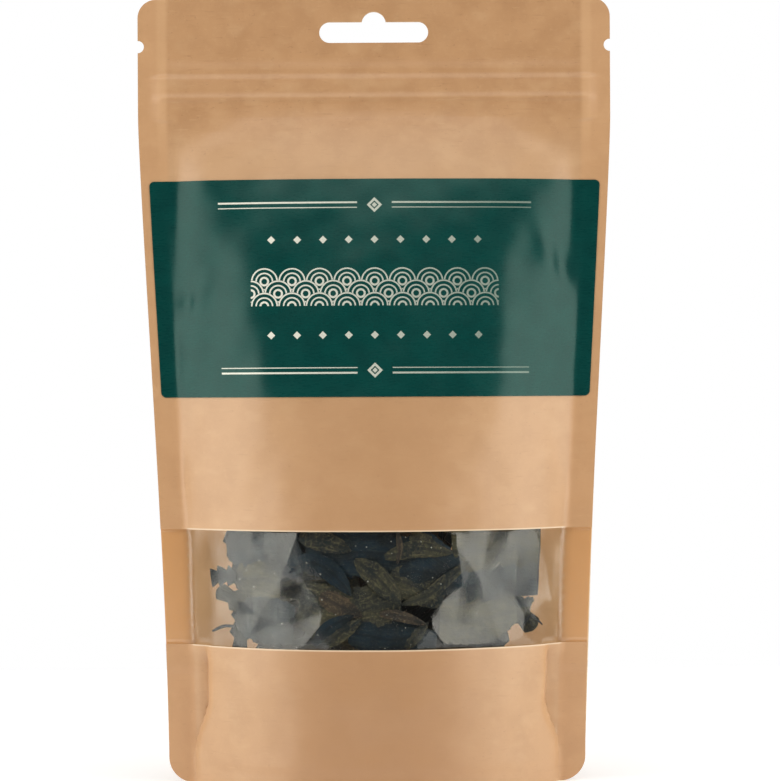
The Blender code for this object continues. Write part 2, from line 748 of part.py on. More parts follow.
def make_wrack(collection) -> None:
    """The dried pieces: those at the window by hand, then the rest of the pile by a seeded rule."""
    material = make_material("dried_wrack", WRACK)
    draw = random.Random(BLADE_SEED)
    pile = WrackPile()
    laid = 0
    for number in range(1, 4 * BLADE_COUNT):
        by_hand = number <= len(FRONT_BLADES)
        blade = FRONT_BLADES[number - 1][0] if by_hand else drawn_blade(draw)
        poses = [FRONT_BLADES[number - 1][1]] if by_hand else [drawn_pose(draw) for _ in range(PLACE_TRIALS)]
        flat = FlatBlade(blade)
        surface = flat.curled()
        shell = pile.shell(surface)
        depths = [(pile.rest_depth(shell, pose), index) for index, pose in enumerate(poses)]
        depths = [(depth, index) for depth, index in depths if depth is not None]
        if depths and laid < BLADE_COUNT:
            depth, index = min(depths)
            laid += 1
            matrix = pile.lay(shell, poses[index], depth)
            add_blade(laid, surface, flat.ribs, matrix, collection, material)
        surface.free()


def main() -> None:
    """Builds the pouch and its contents in an empty scene."""
    for obj in list(bpy.data.objects):
        bpy.data.objects.remove(obj)
    pouch = bpy.data.collections.new("wrack_pouch")
    helpers = bpy.data.collections.new("cutters")
    bpy.context.scene.collection.children.link(pouch)
    bpy.context.scene.collection.children.link(helpers)
    cutters = make_cutters(helpers)
    make_papers(pouch, cutters)
    make_window(pouch)
    make_label(pouch)
    make_zip(pouch)
    make_gusset(pouch)
    make_wrack(pouch)


if __name__ == "__main__":
    main()
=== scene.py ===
"""The looks of a kraft paper stand-up pouch with a clear window strip, filled with dried serrated wrack.

Metres, +Z up; the pouch stands on the floor at z = 0 and its front faces -Y. Each sheet is modelled flat,
as it is cut, and then laid on the shape of the filled pouch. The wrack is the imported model's own blades,
made finer, with loose fronds between them and the window.
"""

import logging
import math
import random
from collections.abc import Callable, Sequence
from dataclasses import dataclass, field, replace
from enum import Enum

import bmesh
import bpy
import numpy as np
from mathutils import Matrix, Vector, geometry, noise

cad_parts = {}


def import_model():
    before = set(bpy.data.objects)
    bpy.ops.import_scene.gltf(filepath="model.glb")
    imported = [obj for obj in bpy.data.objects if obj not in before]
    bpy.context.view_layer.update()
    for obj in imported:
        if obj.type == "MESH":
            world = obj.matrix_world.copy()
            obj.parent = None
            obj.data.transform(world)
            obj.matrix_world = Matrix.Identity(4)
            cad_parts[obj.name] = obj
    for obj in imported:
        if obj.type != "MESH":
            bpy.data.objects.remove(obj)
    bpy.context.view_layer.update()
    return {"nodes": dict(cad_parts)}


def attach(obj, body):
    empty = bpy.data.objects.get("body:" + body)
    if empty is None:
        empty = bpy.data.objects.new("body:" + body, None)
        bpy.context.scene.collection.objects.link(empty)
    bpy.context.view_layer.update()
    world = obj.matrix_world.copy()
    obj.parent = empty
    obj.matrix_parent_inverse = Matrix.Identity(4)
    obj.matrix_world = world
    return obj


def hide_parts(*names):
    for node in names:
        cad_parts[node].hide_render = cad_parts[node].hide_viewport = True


MM = 0.001
WINDOW_BOTTOM = 41 * MM
WINDOW_TOP = 75 * MM
# The row of small marks that the heat seal leaves beside each seam, in millimetres.
SEAL_PLACE = 61.6
SEAL_PITCH = 3.3
WHITE = (1.0, 1.0, 1.0, 1.0)
Array = np.ndarray
Point = tuple[float, float]
Colour = tuple[int, int, int]
log = logging.getLogger("pouch")


class Side(Enum):
    """A wall of the pouch, with the direction of Y in which it stands out."""

    FRONT = -1
    BACK = 1


def smooth_step(value: Array, low: float, high: float) -> Array:
    """Rises smoothly from 0 at low to 1 at high."""
    share = np.clip((value - low) / (high - low), 0.0, 1.0)
    return share * share * (3 - 2 * share)


def band(value: Array, low: float, high: float, ramp: float) -> Array:
    """Is 1 between low and high, and falls smoothly to 0 over a ramp outside them."""
    return smooth_step(value, low - ramp, low) * (1 - smooth_step(value, high, high + ramp))


def blend(start: Array | float, end: Array | float, share: Array) -> Array:
    """Goes from start to end as share goes from 0 to 1."""
    return start + (end - start) * share


def lines(start: float, end: float, step: float) -> list[float]:
    """Evenly spaced values from start to end, about a step apart."""
    return list(np.linspace(start, end, max(2, round((end - start) / step) + 1)))


@dataclass(frozen=True)
class Ripples:
    """Soft seeded waves over a sheet.

    Attributes:
        seed: what the waves are drawn from.
        shortest: the shortest wave.
        longest: the longest wave.
        height: the usual height of their sum.
        count: how many waves are added up.
    """

    seed: int
    shortest: float
    longest: float
    height: float
    count: int = 9

    def at(self, across: Array, height: Array) -> Array:
        """The height of the waves at places of the flat sheet.

        Args:
            across: places along the sheet, to the right.
            height: places above the bottom rim.

        Returns:
            The height of their sum at each place.
        """
        draw = random.Random(self.seed)
        total = np.zeros_like(across)
        for _ in range(self.count):
            turns = math.tau / draw.uniform(self.shortest, self.longest)
            heading = draw.uniform(0, math.pi)
            phase = draw.uniform(0, math.tau)
            total += np.sin(turns * (across * math.cos(heading) + height * math.sin(heading)) + phase)
        return self.height * total / math.sqrt(self.count)


@dataclass(frozen=True)
class Dent:
    """A soft dent, or a bulge where its depth is below zero.

    Attributes:
        across: its place along the sheet.
        height: its place above the bottom rim.
        half_width: how far it reaches across its own length.
        half_length: how far it reaches along its own length.
        depth: how deep it is in the middle.
        lean: how its length leans from upright, in degrees.
    """

    across: float
    height: float
    half_width: float
    half_length: float
    depth: float
    lean: float = 0.0

    def at(self, across: Array, height: Array) -> Array:
        """How far the dent moves the sheet outwards, which is below zero for a dent.

        Args:
            across: places along the sheet, to the right.
            height: places above the bottom rim.

        Returns:
            The shift at each place.
        """
        turn = math.radians(self.lean)
        right = (across - self.across) * math.cos(turn) - (height - self.height) * math.sin(turn)
        up = (across - self.across) * math.sin(turn) + (height - self.height) * math.cos(turn)
        return -self.depth * np.exp(-((right / self.half_width) ** 2) - (up / self.half_length) ** 2)


@dataclass(frozen=True)
class FoldNet:
    """Flat facets that meet in sharp folds, as creased film has them.

    Attributes:
        points: where the folds meet: across, up, and how far out of the smooth film, in millimetres.
        folds: the pairs of points, by their numbers, that a fold joins.
        rounding: how far the folds are rounded.
        radius: of the arc that the smooth film makes, in millimetres.
    """

    points: tuple[tuple[float, float, float], ...]
    folds: tuple[tuple[int, int], ...]
    rounding: float = 0.2 * MM
    radius: float = 74.8

    def facets(self) -> list[list[int]]:
        """The triangles between the points, with an edge along every fold."""
        flat = [Vector(point[:2]) for point in self.points]
        return geometry.delaunay_2d_cdt(flat, self.folds, [], 0, 1e-5)[2]

    def curved(self, place: Array) -> tuple[Array, Array]:
        """Where the smooth film has places of the flat sheet, seen from the front, and how far back.

        Args:
            place: across and up, in millimetres, one row each.

        Returns:
            The places as the front shows them, and how far back each one lies.
        """
        turn = place[:, 0] / self.radius
        seen = np.stack((self.radius * np.sin(turn), place[:, 1]), axis=-1)
        return seen, self.radius * (np.cos(turn) - 1)

    def sharp(self, across: Array, height: Array) -> Array:
        """How far the facets stand out of the smooth film; nothing outside them.

        Args:
            across: places along the sheet, to the right.
            height: places above the bottom rim.

        Returns:
            The shift at each place, in metres.
        """
        place, curve = self.curved(np.stack((across, height), axis=-1) / MM)
        total = np.zeros_like(across)
        points = np.array(self.points)
        corners, backs = self.curved(points)
        levels = points[:, 2] + backs
        for facet in self.facets():
            first, second, third = corners[facet]
            edges = np.stack((second - first, third - first), axis=-1)
            shares = (place - first) @ np.linalg.inv(edges).T
            within = (shares.min(axis=-1) >= -1e-6) & (shares.sum(axis=-1) <= 1 + 1e-6)
            flat = levels[facet[0]] + shares @ (levels[facet[1:]] - levels[facet[0]])
            total = np.where(within, (flat - curve) * np.cos(across / (self.radius * MM)) * MM, total)
        return total

    def at(self, across: Array, height: Array) -> Array:
        """How far the facets stand out, with their folds rounded.

        Args:
            across: places along the sheet, to the right.
            height: places above the bottom rim.

        Returns:
            The shift at each place, in metres.
        """
        reach = self.rounding
        taps = ((0.0, 0.0), (reach, 0.0), (-reach, 0.0), (0.0, reach), (0.0, -reach))
        return sum(self.sharp(across + right, height + up) for right, up in taps) / len(taps)


@dataclass(frozen=True)
class PouchForm:
    """The filled pouch: where each point of a flat wall comes to lie.

    A wall between the side seams bends to an arc and pulls the seams in. It stands out furthest at the foot
    and comes back to flat at the pinch, under the zip.
    """

    half_width: float = 70 * MM
    seam: float = 8 * MM
    top: float = 232 * MM
    deepest: float = 26.5 * MM
    foot: float = 8 * MM
    pinch: float = 196 * MM
    rise_power: float = 1.5
    fall_power: float = 0.6
    zip_bottom: float = 196.6 * MM
    zip_line: float = 202.5 * MM
    zip_top: float = 208.4 * MM
    zip_rise: float = 0.52 * MM
    zip_swell: float = 0.3 * MM
    zip_ridge: float = 0.34 * MM
    zip_ridge_width: float = 1.0 * MM
    tuck_share: float = 0.85
    tuck_low: float = 60 * MM
    tuck_high: float = 52.5 * MM
    tuck_ramp: float = 2.6 * MM
    open_gap: float = 0.45 * MM
    sealed_gap: float = 0.03 * MM
    film_gap: float = 0.24 * MM
    rim_gap: float = 0.2 * MM
    crease_taps: tuple[float, ...] = (-1.5 * MM, -0.75 * MM, 0.0, 0.75 * MM, 1.5 * MM)
    pinch_softness: float = 0.02
    probe: float = 0.15 * MM

    @property
    def wall(self) -> float:
        """Half the flat width of a wall between the seams."""
        return self.half_width - self.seam

    def half_depth(self, height: Array) -> Array:
        """How far the middle of a wall stands out from the seam plane.

        Args:
            height: places above the bottom rim.

        Returns:
            The depth at each height.
        """
        rise = np.maximum((height - self.foot) / (self.pinch - self.foot), 0.0)
        left = 1 - rise**self.rise_power
        soft = (left + np.hypot(left, self.pinch_softness)) / 2
        closing = 1 - smooth_step(height, self.pinch - 3 * MM, self.pinch + 9 * MM)
        return self.deepest * soft**self.fall_power * closing

    def arc_angle(self, height: Array) -> Array:
        """Half the angle of the arc that a wall makes at each height.

        Args:
            height: places above the bottom rim.

        Returns:
            The half angle at each height, in radians.
        """
        depth = self.half_depth(height)
        low = np.full_like(height, 1e-4)
        high = np.full_like(height, 1.5)
        for _ in range(36):
            middle = (low + high) / 2
            flat = self.wall * (1 - np.cos(middle)) / middle < depth
            low = np.where(flat, middle, low)
            high = np.where(flat, high, middle)
        return (low + high) / 2

    def tucked(self, across: Array, height: Array) -> Array:
        """Share of the bulge that is drawn in beside the seams, above the sealed bottom corners.

        Args:
            across: places along the sheet, to the right.
            height: places above the bottom rim.

        Returns:
            The share at each place, from 0 to 1.
        """
        start = blend(self.tuck_low, self.tuck_high, smooth_step(height, 8 * MM, 25 * MM))
        beside = smooth_step(np.abs(across) - start, 0.0, self.tuck_ramp)
        return self.tuck_share * beside * (1 - smooth_step(height, 36 * MM, 43 * MM))

    def section(self, across: Array, height: Array, angle: Array) -> tuple[Array, Array]:
        """A wall's middle layer at each height: how far right it is, and how far out.

        Args:
            across: places along the sheet, to the right.
            height: places above the bottom rim.
            angle: half the angle of the wall's arc there.

        Returns:
            How far right each place is, and how far out.
        """
        radius = self.wall / angle
        right = np.zeros_like(across)
        out = np.zeros_like(across)
        for tap in self.crease_taps:
            place = across + tap
            turn = np.clip(place, -self.wall, self.wall) / radius
            beyond = np.maximum(np.abs(place) - self.wall, 0.0)
            right += radius * np.sin(turn) + np.sign(place) * beyond
            out += radius * (np.cos(turn) - np.cos(angle))
        count = len(self.crease_taps)
        return right / count, out / count * (1 - self.tucked(across, height))

    def lay(self, side: Side, across: Array, height: Array, offset: Array) -> Array:
        """Lays points of a flat sheet on the filled pouch.

        Args:
            side: the wall that they belong to.
            across: distance from the middle line along the sheet, to the right.
            height: distance above the bottom rim.
            offset: distance outwards from the middle layer.

        Returns:
            Their places, one row each.
        """
        angle = self.arc_angle(height)
        right, out = self.section(across, height, angle)
        before = self.section(across - self.probe, height, angle)
        after = self.section(across + self.probe, height, angle)
        run = after[0] - before[0]
        climb = after[1] - before[1]
        length = np.hypot(run, climb)
        x = right - climb / length * offset
        y = side.value * (out + run / length * offset)
        return np.stack((x, y, height), axis=-1)

    def zip_relief(self, across: Array, height: Array) -> Array:
        """How far the zip pushes a wall out: two slopes and a ridge, crushed flat in the side seals.

        Args:
            across: places along the sheet, to the right.
            height: places above the bottom rim.

        Returns:
            The shift at each place.
        """
        lower = smooth_step(height, self.zip_bottom - 5 * MM, self.zip_bottom + 1.4 * MM)
        upper = 1 - smooth_step(height, self.zip_top - 0.2 * MM, self.zip_top + 1.5 * MM)
        above = np.clip((height - self.zip_line) / (self.zip_top - self.zip_line), 0.0, 1.0)
        below = np.clip((self.zip_line - height) / (self.zip_line - self.zip_bottom), 0.0, 1.0)
        ridge = np.exp(-(((height - self.zip_line) / self.zip_ridge_width) ** 2))
        rise = self.zip_rise + self.zip_swell * (1 - above - below) + self.zip_ridge * ridge
        crushed = 1 - smooth_step(np.abs(across), 61.8 * MM, 67.4 * MM)
        return lower * upper * rise * crushed

    def seam_relief(self, across: Array, height: Array) -> Array:
        """How far the pressed side seams lie below the rest of a wall.

        Args:
            across: places along the sheet, to the right.
            height: places above the bottom rim.

        Returns:
            The shift at each place, which is never above zero.
        """
        beside = smooth_step(np.abs(across), self.wall - 1.2 * MM, self.wall + 0.6 * MM)
        above = smooth_step(height, self.pinch - 30 * MM, self.pinch)
        return -0.12 * MM * beside * above

    def inside(self, across: Array, height: Array) -> Array:
        """How far a wall's inner face is from the middle layer: closer where the walls are sealed.

        Args:
            across: places along the sheet, to the right.
            height: places above the bottom rim.

        Returns:
            The distance at each place.
        """
        on_zip = band(height, self.zip_bottom, self.zip_top, 1.5 * MM)
        seam_start = self.wall - 0.5 * MM + 3.6 * MM * on_zip
        at_seam = smooth_step(np.abs(across) - seam_start, -2.5 * MM, 2.4 * MM)
        at_top = smooth_step(height, 211 * MM, 214 * MM)
        film = band(height, 34 * MM, 82 * MM, 1.2 * MM)
        closed = blend(self.sealed_gap, self.film_gap, film)
        gap = blend(self.open_gap, closed, np.maximum(at_seam, at_top))
        at_rim = (1 - smooth_step(height, 4.6 * MM, 7 * MM)) * (1 - at_seam)
        return blend(gap, self.rim_gap, at_rim)


@dataclass(frozen=True)
class FrontRelief:
    """How the front wall is dented and crumpled, with all that lies on it."""

    form: PouchForm
    waves: Ripples = Ripples(3, 26 * MM, 60 * MM, 0.22 * MM)
    crumple: Ripples = Ripples(8, 9 * MM, 20 * MM, 0.07 * MM)
    dents: tuple[Dent, ...] = tuple(
        Dent(*(size * MM for size in sizes), lean)
        for *sizes, lean in (
            (-35, 148, 10, 34, -1.3, 0),
            (35, 146, 10, 34, -1.3, 0),
            (-47, 173, 9, 14, -0.8, 0),
            (47, 172, 9, 15, -0.8, 0),
            (-59.5, 172, 5, 22, 0.9, 0),
            (59.5, 170, 5, 23, 0.9, 0),
            (-57, 142, 2.6, 3.5, 0.6, 20),
            (-52, 146, 3.5, 7, -0.4, 30),
            (57, 151, 2.8, 6, 0.5, -16),
            (51, 158, 3, 8, -0.45, -22),
            (-57, 108, 4, 12, 0.35, 4),
            (57, 100, 4, 12, 0.35, -4),
            (0, 12, 14, 10, 0.6, 0),
            (-50, 191, 10, 3, 0.35, -20),
            (49, 190, 10, 3, 0.35, 20),
        )
    )

    def at(self, across: Array, height: Array) -> Array:
        """How far the front is moved outwards at places of the flat sheet.

        Args:
            across: places along the sheet, to the right.
            height: places above the bottom rim.

        Returns:
            The shift at each place.
        """
        free = 1 - smooth_step(np.abs(across), 56 * MM, 64 * MM)
        low = 1 - smooth_step(height, 190 * MM, 201 * MM)
        total = (self.waves.at(across, height) + self.crumple.at(across, height)) * free * low
        for dent in self.dents:
            total += dent.at(across, height) * (1 - smooth_step(np.abs(across), 59 * MM, 63 * MM))
        return total + self.form.zip_relief(across, height) + self.form.seam_relief(across, height)


@dataclass(frozen=True)
class BackRelief:
    """How the back wall is crumpled."""

    form: PouchForm
    waves: Ripples = Ripples(21, 24 * MM, 60 * MM, 0.25 * MM)
    crumple: Ripples = Ripples(17, 9 * MM, 20 * MM, 0.08 * MM)

    def at(self, across: Array, height: Array) -> Array:
        """How far the back is moved outwards at places of the flat sheet.

        Args:
            across: places along the sheet, to the right.
            height: places above the bottom rim.

        Returns:
            The shift at each place.
        """
        free = 1 - smooth_step(np.abs(across), 56 * MM, 64 * MM)
        low = 1 - smooth_step(height, 186 * MM, 197 * MM)
        waves = (self.waves.at(across, height) + self.crumple.at(across, height)) * free * low
        return waves + self.form.zip_relief(across, height) + self.form.seam_relief(across, height)


def linear(rgb: Colour) -> tuple[float, float, float, float]:
    """The linear colour of an 8-bit display colour, with full alpha.

    Args:
        rgb: red, green and blue, from 0 to 255.

    Returns:
        Red, green, blue and alpha, from 0 to 1.
    """
    parts = [value / 255 for value in rgb]
    curve = [part / 12.92 if part <= 0.04045 else ((part + 0.055) / 1.055) ** 2.4 for part in parts]
    return (*curve, 1.0)


class Signal:
    """A shader socket in an expression: each operator adds the Math node that works it out."""

    def __init__(self, graph: "Graph", socket: bpy.types.NodeSocket) -> None:
        """Wraps an output socket of a graph."""
        self.graph = graph
        self.socket = socket

    def __add__(self, other: "Signal | float") -> "Signal":
        """Adds two values."""
        return self.graph.math("ADD", self, other)

    def __sub__(self, other: "Signal | float") -> "Signal":
        """Takes a value from this one."""
        return self.graph.math("SUBTRACT", self, other)

    def __mul__(self, other: "Signal | float") -> "Signal":
        """Multiplies two values."""
        return self.graph.math("MULTIPLY", self, other)

    def __truediv__(self, other: "Signal | float") -> "Signal":
        """Divides this value by another."""
        return self.graph.math("DIVIDE", self, other)

    def __pow__(self, other: "Signal | float") -> "Signal":
        """Raises this value to a power."""
        return self.graph.math("POWER", self, other)

    def __rsub__(self, other: float) -> "Signal":
        """Takes this value from a number."""
        return self.graph.math("SUBTRACT", other, self)

    def __rtruediv__(self, other: float) -> "Signal":
        """Divides a number by this value."""
        return self.graph.math("DIVIDE", other, self)

    def __abs__(self) -> "Signal":
        """This value without its sign."""
        return self.graph.math("ABSOLUTE", self)

    __radd__ = __add__
    __rmul__ = __mul__

    def ramp(self, low: float, high: float) -> "Signal":
        """Rises smoothly from 0 where this value is low to 1 where it is high.

        Args:
            low: where the rise starts.
            high: where it ends; below low, the ramp falls as the value rises.

        Returns:
            The share, from 0 to 1.
        """
        settings = {"interpolation_type": "SMOOTHSTEP"}
        inputs = {"Value": self, "From Min": low, "From Max": high}
        return Signal(self.graph, self.graph.node("ShaderNodeMapRange", settings, inputs).outputs["Result"])

    def clamp(self) -> "Signal":
        """This value, kept between 0 and 1."""
        return self.graph.math("MINIMUM", self.graph.math("MAXIMUM", self, 0.0), 1.0)


class Graph:
    """The node tree of a material or of the world."""

    def __init__(self, owner: bpy.types.Material | bpy.types.World) -> None:
        """Empties the tree of its owner.

        Args:
            owner: the material or the world.
        """
        owner.use_nodes = True
        self.owner = owner
        self.tree = owner.node_tree
        self.tree.nodes.clear()

    @classmethod
    def material(cls, name: str) -> "Graph":
        """The empty tree of a new material."""
        return cls(bpy.data.materials.new(name))

    def node(self, kind: str, settings: dict | None = None, inputs: dict | None = None) -> bpy.types.Node:
        """Adds a node.

        Args:
            kind: the node's type.
            settings: its properties, which are set first.
            inputs: the value or the link of each socket, under its name, identifier or number.

        Returns:
            The new node.
        """
        made = self.tree.nodes.new(kind)
        for key, value in (settings or {}).items():
            setattr(made, key, value)
        for key, value in (inputs or {}).items():
            socket = self.find(made, key)
            if isinstance(value, Signal):
                self.tree.links.new(value.socket, socket)
            else:
                socket.default_value = value
        return made

    @staticmethod
    def find(node: bpy.types.Node, key: str | int) -> bpy.types.NodeSocket:
        """The input of a node under a number, an identifier or a name.

        Args:
            node: the node.
            key: the socket's number, identifier or name.

        Returns:
            The socket.
        """
        if isinstance(key, int):
            return node.inputs[key]
        exact = [socket for socket in node.inputs if socket.identifier == key]
        return exact[0] if exact else node.inputs[key]

    def math(self, operation: str, *values: Signal | float) -> Signal:
        """Adds a Math node."""
        node = self.node("ShaderNodeMath", {"operation": operation}, dict(enumerate(values)))
        return Signal(self, node.outputs[0])

    def mix(self, share: Signal | float, first: Signal | Colour, second: Signal | Colour) -> Signal:
        """Mixes two colours, each a link or a display colour.

        Args:
            share: how much of the second colour there is.
            first: the colour where share is 0.
            second: the colour where share is 1.

        Returns:
            The mixed colour.
        """
        colours = [value if isinstance(value, Signal) else linear(value) for value in (first, second)]
        settings = {"data_type": "RGBA", "blend_type": "MIX", "clamp_factor": True}
        inputs = {"Factor_Float": share, "A_Color": colours[0], "B_Color": colours[1]}
        node = self.node("ShaderNodeMix", settings, inputs)
        return Signal(self, next(out for out in node.outputs if out.identifier == "Result_Color"))

    def millimetres(self, stretch: Sequence[float] = (1, 1, 1), source: str = "Object") -> Signal:
        """The place on the piece in millimetres, with each axis stretched as asked.

        Args:
            stretch: what each axis is multiplied by.
            source: the coordinates that are read.

        Returns:
            The place, as a vector.
        """
        place = Signal(self, self.node("ShaderNodeTexCoord").outputs[source])
        scale = tuple(1000 * value for value in stretch)
        node = self.node("ShaderNodeVectorMath", {"operation": "MULTIPLY"}, {0: place, 1: scale})
        return Signal(self, node.outputs[0])

    def noise(self, place: Signal, scale: float, detail: float = 2.0, roughness: float = 0.5) -> Signal:
        """Soft noise between 0 and 1."""
        inputs = {"Vector": place, "Scale": scale, "Detail": detail, "Roughness": roughness}
        return Signal(self, self.node("ShaderNodeTexNoise", {}, inputs).outputs[0])

    def cells(self, place: Signal, scale: float) -> Signal:
        """The distance to the nearest of many scattered points."""
        inputs = {"Vector": place, "Scale": scale}
        return Signal(self, self.node("ShaderNodeTexVoronoi", {}, inputs).outputs[0])

    def axes(self, place: Signal) -> tuple[Signal, Signal, Signal]:
        """The three parts of a vector."""
        node = self.node("ShaderNodeSeparateXYZ", {}, {0: place})
        return tuple(Signal(self, out) for out in node.outputs)

    def bump(self, height: Signal, distance: float, strength: float = 1.0) -> Signal:
        """A normal from a height."""
        inputs = {"Height": height, "Distance": distance, "Strength": strength}
        return Signal(self, self.node("ShaderNodeBump", {}, inputs).outputs[0])

    def mix_shaders(self, share: Signal, first: bpy.types.Node, second: bpy.types.Node) -> bpy.types.Node:
        """A shader that goes from a first to a second one as share goes from 0 to 1."""
        inputs = {"Fac": share, 1: Signal(self, first.outputs[0]), 2: Signal(self, second.outputs[0])}
        return self.node("ShaderNodeMixShader", {}, inputs)

    def finish(self, shader: bpy.types.Node) -> bpy.types.Material | bpy.types.World:
        """Links a shader to the output.

        Args:
            shader: the node whose first output is the whole look.

        Returns:
            The tree's owner, ready for use.
        """
        kind = "World" if isinstance(self.owner, bpy.types.World) else "Material"
        self.node(f"ShaderNodeOutput{kind}", {}, {"Surface": Signal(self, shader.outputs[0])})
        return self.owner

    def coat(self, inputs: dict) -> bpy.types.Material:
        """The material with a principled shader that has these inputs."""
        return self.finish(self.node("ShaderNodeBsdfPrincipled", {}, inputs))


@dataclass(frozen=True)
class KraftFinish:
    """Brown kraft paper: soft clouds, small dark flecks, short level streaks and a few pale fibres."""

    name: str
    base: Colour = (188, 145, 104)
    dark: Colour = (164, 121, 82)
    pale: Colour = (204, 166, 126)
    fleck: Colour = (124, 85, 56)
    roughness: float = 0.37
    sheen: float = 0.55
    # The glow is painted light: an emission that stands in for light soaking through the paper.
    glow: float = 0.0
    # The seam tint is painted light on the outer paper, where it makes the seams paler, and painted shade on
    # the lining, where it makes them darker.
    seam_light_shade_tint: Colour | None = None
    seam_light_shade_share: float = 0.0
    seam_start: float = 61.4
    stripe_tint: Colour = (214, 174, 132)
    stripe_share: float = 0.0
    stripe_place: float = 62.9
    # The low tint is painted light: away from the seams, the paper below the zip is painted paler than above
    # it.
    lower_light_tint: Colour = (204, 170, 134)
    lower_light_share: float = 0.0
    # The middle share paints shade down the middle of the wall.
    middle_shade_share: float = 0.0
    seal_share: float = 0.0
    cuts: tuple[float, ...] = ()
    cut_tint: Colour = (232, 212, 184)

    def marks_and_painted_light(self, graph: Graph, colour: Signal) -> Signal:
        """The paper's marks and its painted light and shade: painted tints on the seams, painted light below
        the zip, painted shade down the middle, a pale stripe beside each seam under the zip, dark seal marks
        and a pale line at each window cut.

        Args:
            graph: the material's tree.
            colour: the colour of the plain paper.

        Returns:
            The colour with the marks and the painted light and shade.
        """
        across, height, _ = graph.axes(graph.millimetres(source="UV"))
        seams = abs(across).ramp(self.seam_start - 0.8, self.seam_start + 1.2)
        # Painted light: the paper below the zip, away from the seams, is painted paler.
        colour = graph.mix((1 - seams) * height.ramp(200, 182) * self.lower_light_share, colour, self.lower_light_tint)
        # The seams' painted tint: painted light on the outer paper, painted shade on the lining.
        colour = graph.mix(seams * self.seam_light_shade_share, colour, self.seam_light_shade_tint)
        stripe = abs(abs(across) - self.stripe_place).ramp(2.2, 0.8) * height.ramp(176, 198)
        colour = graph.mix(stripe * self.stripe_share, colour, self.stripe_tint)
        # Painted shade down the middle of the wall, deepest near the bottom and gone at the zip.
        middle = abs(across).ramp(44, 12) * height.ramp(198, 120) * (height.ramp(90, 15) * 0.4 + 0.6)
        colour = graph.mix(middle * self.middle_shade_share, colour, self.dark)
        rows = graph.math("SINE", height * (math.tau / SEAL_PITCH)).ramp(-0.4, 0.6)
        dots = abs(abs(across) - SEAL_PLACE).ramp(1.3, 0.3) * rows
        colour = graph.mix(dots * self.seal_share, colour, self.dark)
        for cut in self.cuts:
            worn = abs(height - cut).ramp(0.55, 0.15) * abs(across).ramp(62.5, 60.0)
            colour = graph.mix(worn * 0.75, colour, self.cut_tint)
        return colour

    def build(self) -> bpy.types.Material:
        """Makes the material.

        Returns:
            The material.
        """
        graph = Graph.material(self.name)
        place = graph.millimetres()
        level = graph.millimetres((0.22, 0.22, 1.6))
        clouds = graph.noise(place, 0.11, 3.0)
        blotches = graph.noise(graph.millimetres((0.5, 0.5, 0.8)), 0.22, 2.0)
        grain = graph.noise(place, 0.9, 3.0, 0.6)
        streaks = graph.noise(level, 0.8, 2.0)
        flecks = graph.noise(graph.millimetres((0.7, 0.7, 1.3)), 1.1, 1.0)
        colour = graph.mix(clouds.ramp(0.35, 0.7) * 0.4, self.base, self.dark)
        colour = graph.mix(blotches.ramp(0.5, 0.75) * 0.3, colour, self.pale)
        colour = graph.mix(grain.ramp(0.5, 0.8) * 0.22, colour, self.pale)
        colour = graph.mix(streaks.ramp(0.6, 0.78) * 0.35, colour, self.dark)
        colour = graph.mix(streaks.ramp(0.36, 0.2) * 0.3, colour, self.pale)
        colour = graph.mix(flecks.ramp(0.7, 0.8) * 0.25, colour, self.fleck)
        if self.seam_light_shade_tint:
            colour = self.marks_and_painted_light(graph, colour)
        relief = streaks * 0.6 + grain * 0.5 + clouds * 0.8
        inputs = {
            "Base Color": colour,
            # Painted light: a lining's emission stands in for light soaking through the paper.
            "Emission Color": colour,
            "Emission Strength": self.glow,
            "Roughness": grain * 0.14 + (self.roughness - 0.07),
            "Specular IOR Level": self.sheen,
            "Normal": graph.bump(relief, 0.05 * MM, 0.5),
        }
        return graph.coat(inputs)


@dataclass(frozen=True)
class CutEdgeFinish:
    """The pale cut edge of the paper, with its fibres."""

    name: str = "paper_cut_edge"
    base: Colour = (226, 205, 176)
    dark: Colour = (196, 164, 128)

    def build(self) -> bpy.types.Material:
        """Makes the material.

        Returns:
            The material.
        """
        graph = Graph.material(self.name)
        fibres = graph.noise(graph.millimetres(), 1.6, 2.0)
        colour = graph.mix(fibres, self.base, self.dark)
        inputs = {"Base Color": colour, "Roughness": 0.8, "Normal": graph.bump(fibres, 0.1 * MM, 0.4)}
        return graph.coat(inputs)


@dataclass(frozen=True)
class FilmFinish:
    """Clear film: it lets light through and mirrors the lights, more so at a slant, with a slight haze."""

    name: str = "clear_film"
    tint: Colour = (254, 254, 252)
    roughness: float = 0.22
    haze: float = 0.01
    facing: float = 0.034

    def build(self) -> bpy.types.Material:
        """Makes the material.

        Returns:
            The material.
        """
        graph = Graph.material(self.name)
        place = graph.millimetres()
        scuffs = graph.noise(graph.millimetres((1, 1, 0.3)), 0.5, 1.0)
        waves = graph.noise(place, 0.35, 1.0)
        normal = graph.bump(waves * 0.9 + scuffs * 0.1, 0.06 * MM, 0.35)
        gloss_inputs = {
            "Color": (0.95, 0.96, 0.94, 1.0),
            "Roughness": scuffs * 0.08 + (self.roughness - 0.04),
            "Normal": normal,
        }
        clear = graph.node("ShaderNodeBsdfTransparent", {}, {"Color": linear(self.tint)})
        gloss = graph.node("ShaderNodeBsdfAnisotropic", {"distribution": "BECKMANN"}, gloss_inputs)
        weight = graph.node("ShaderNodeLayerWeight", {}, {"Blend": 0.5, "Normal": normal})
        mirrored = Signal(graph, weight.outputs["Facing"]) ** 5.0 * (1 - self.facing) + self.facing
        share = (mirrored + scuffs.ramp(0.45, 0.75) * self.haze).clamp()
        return graph.finish(graph.mix_shaders(share, clear, gloss))


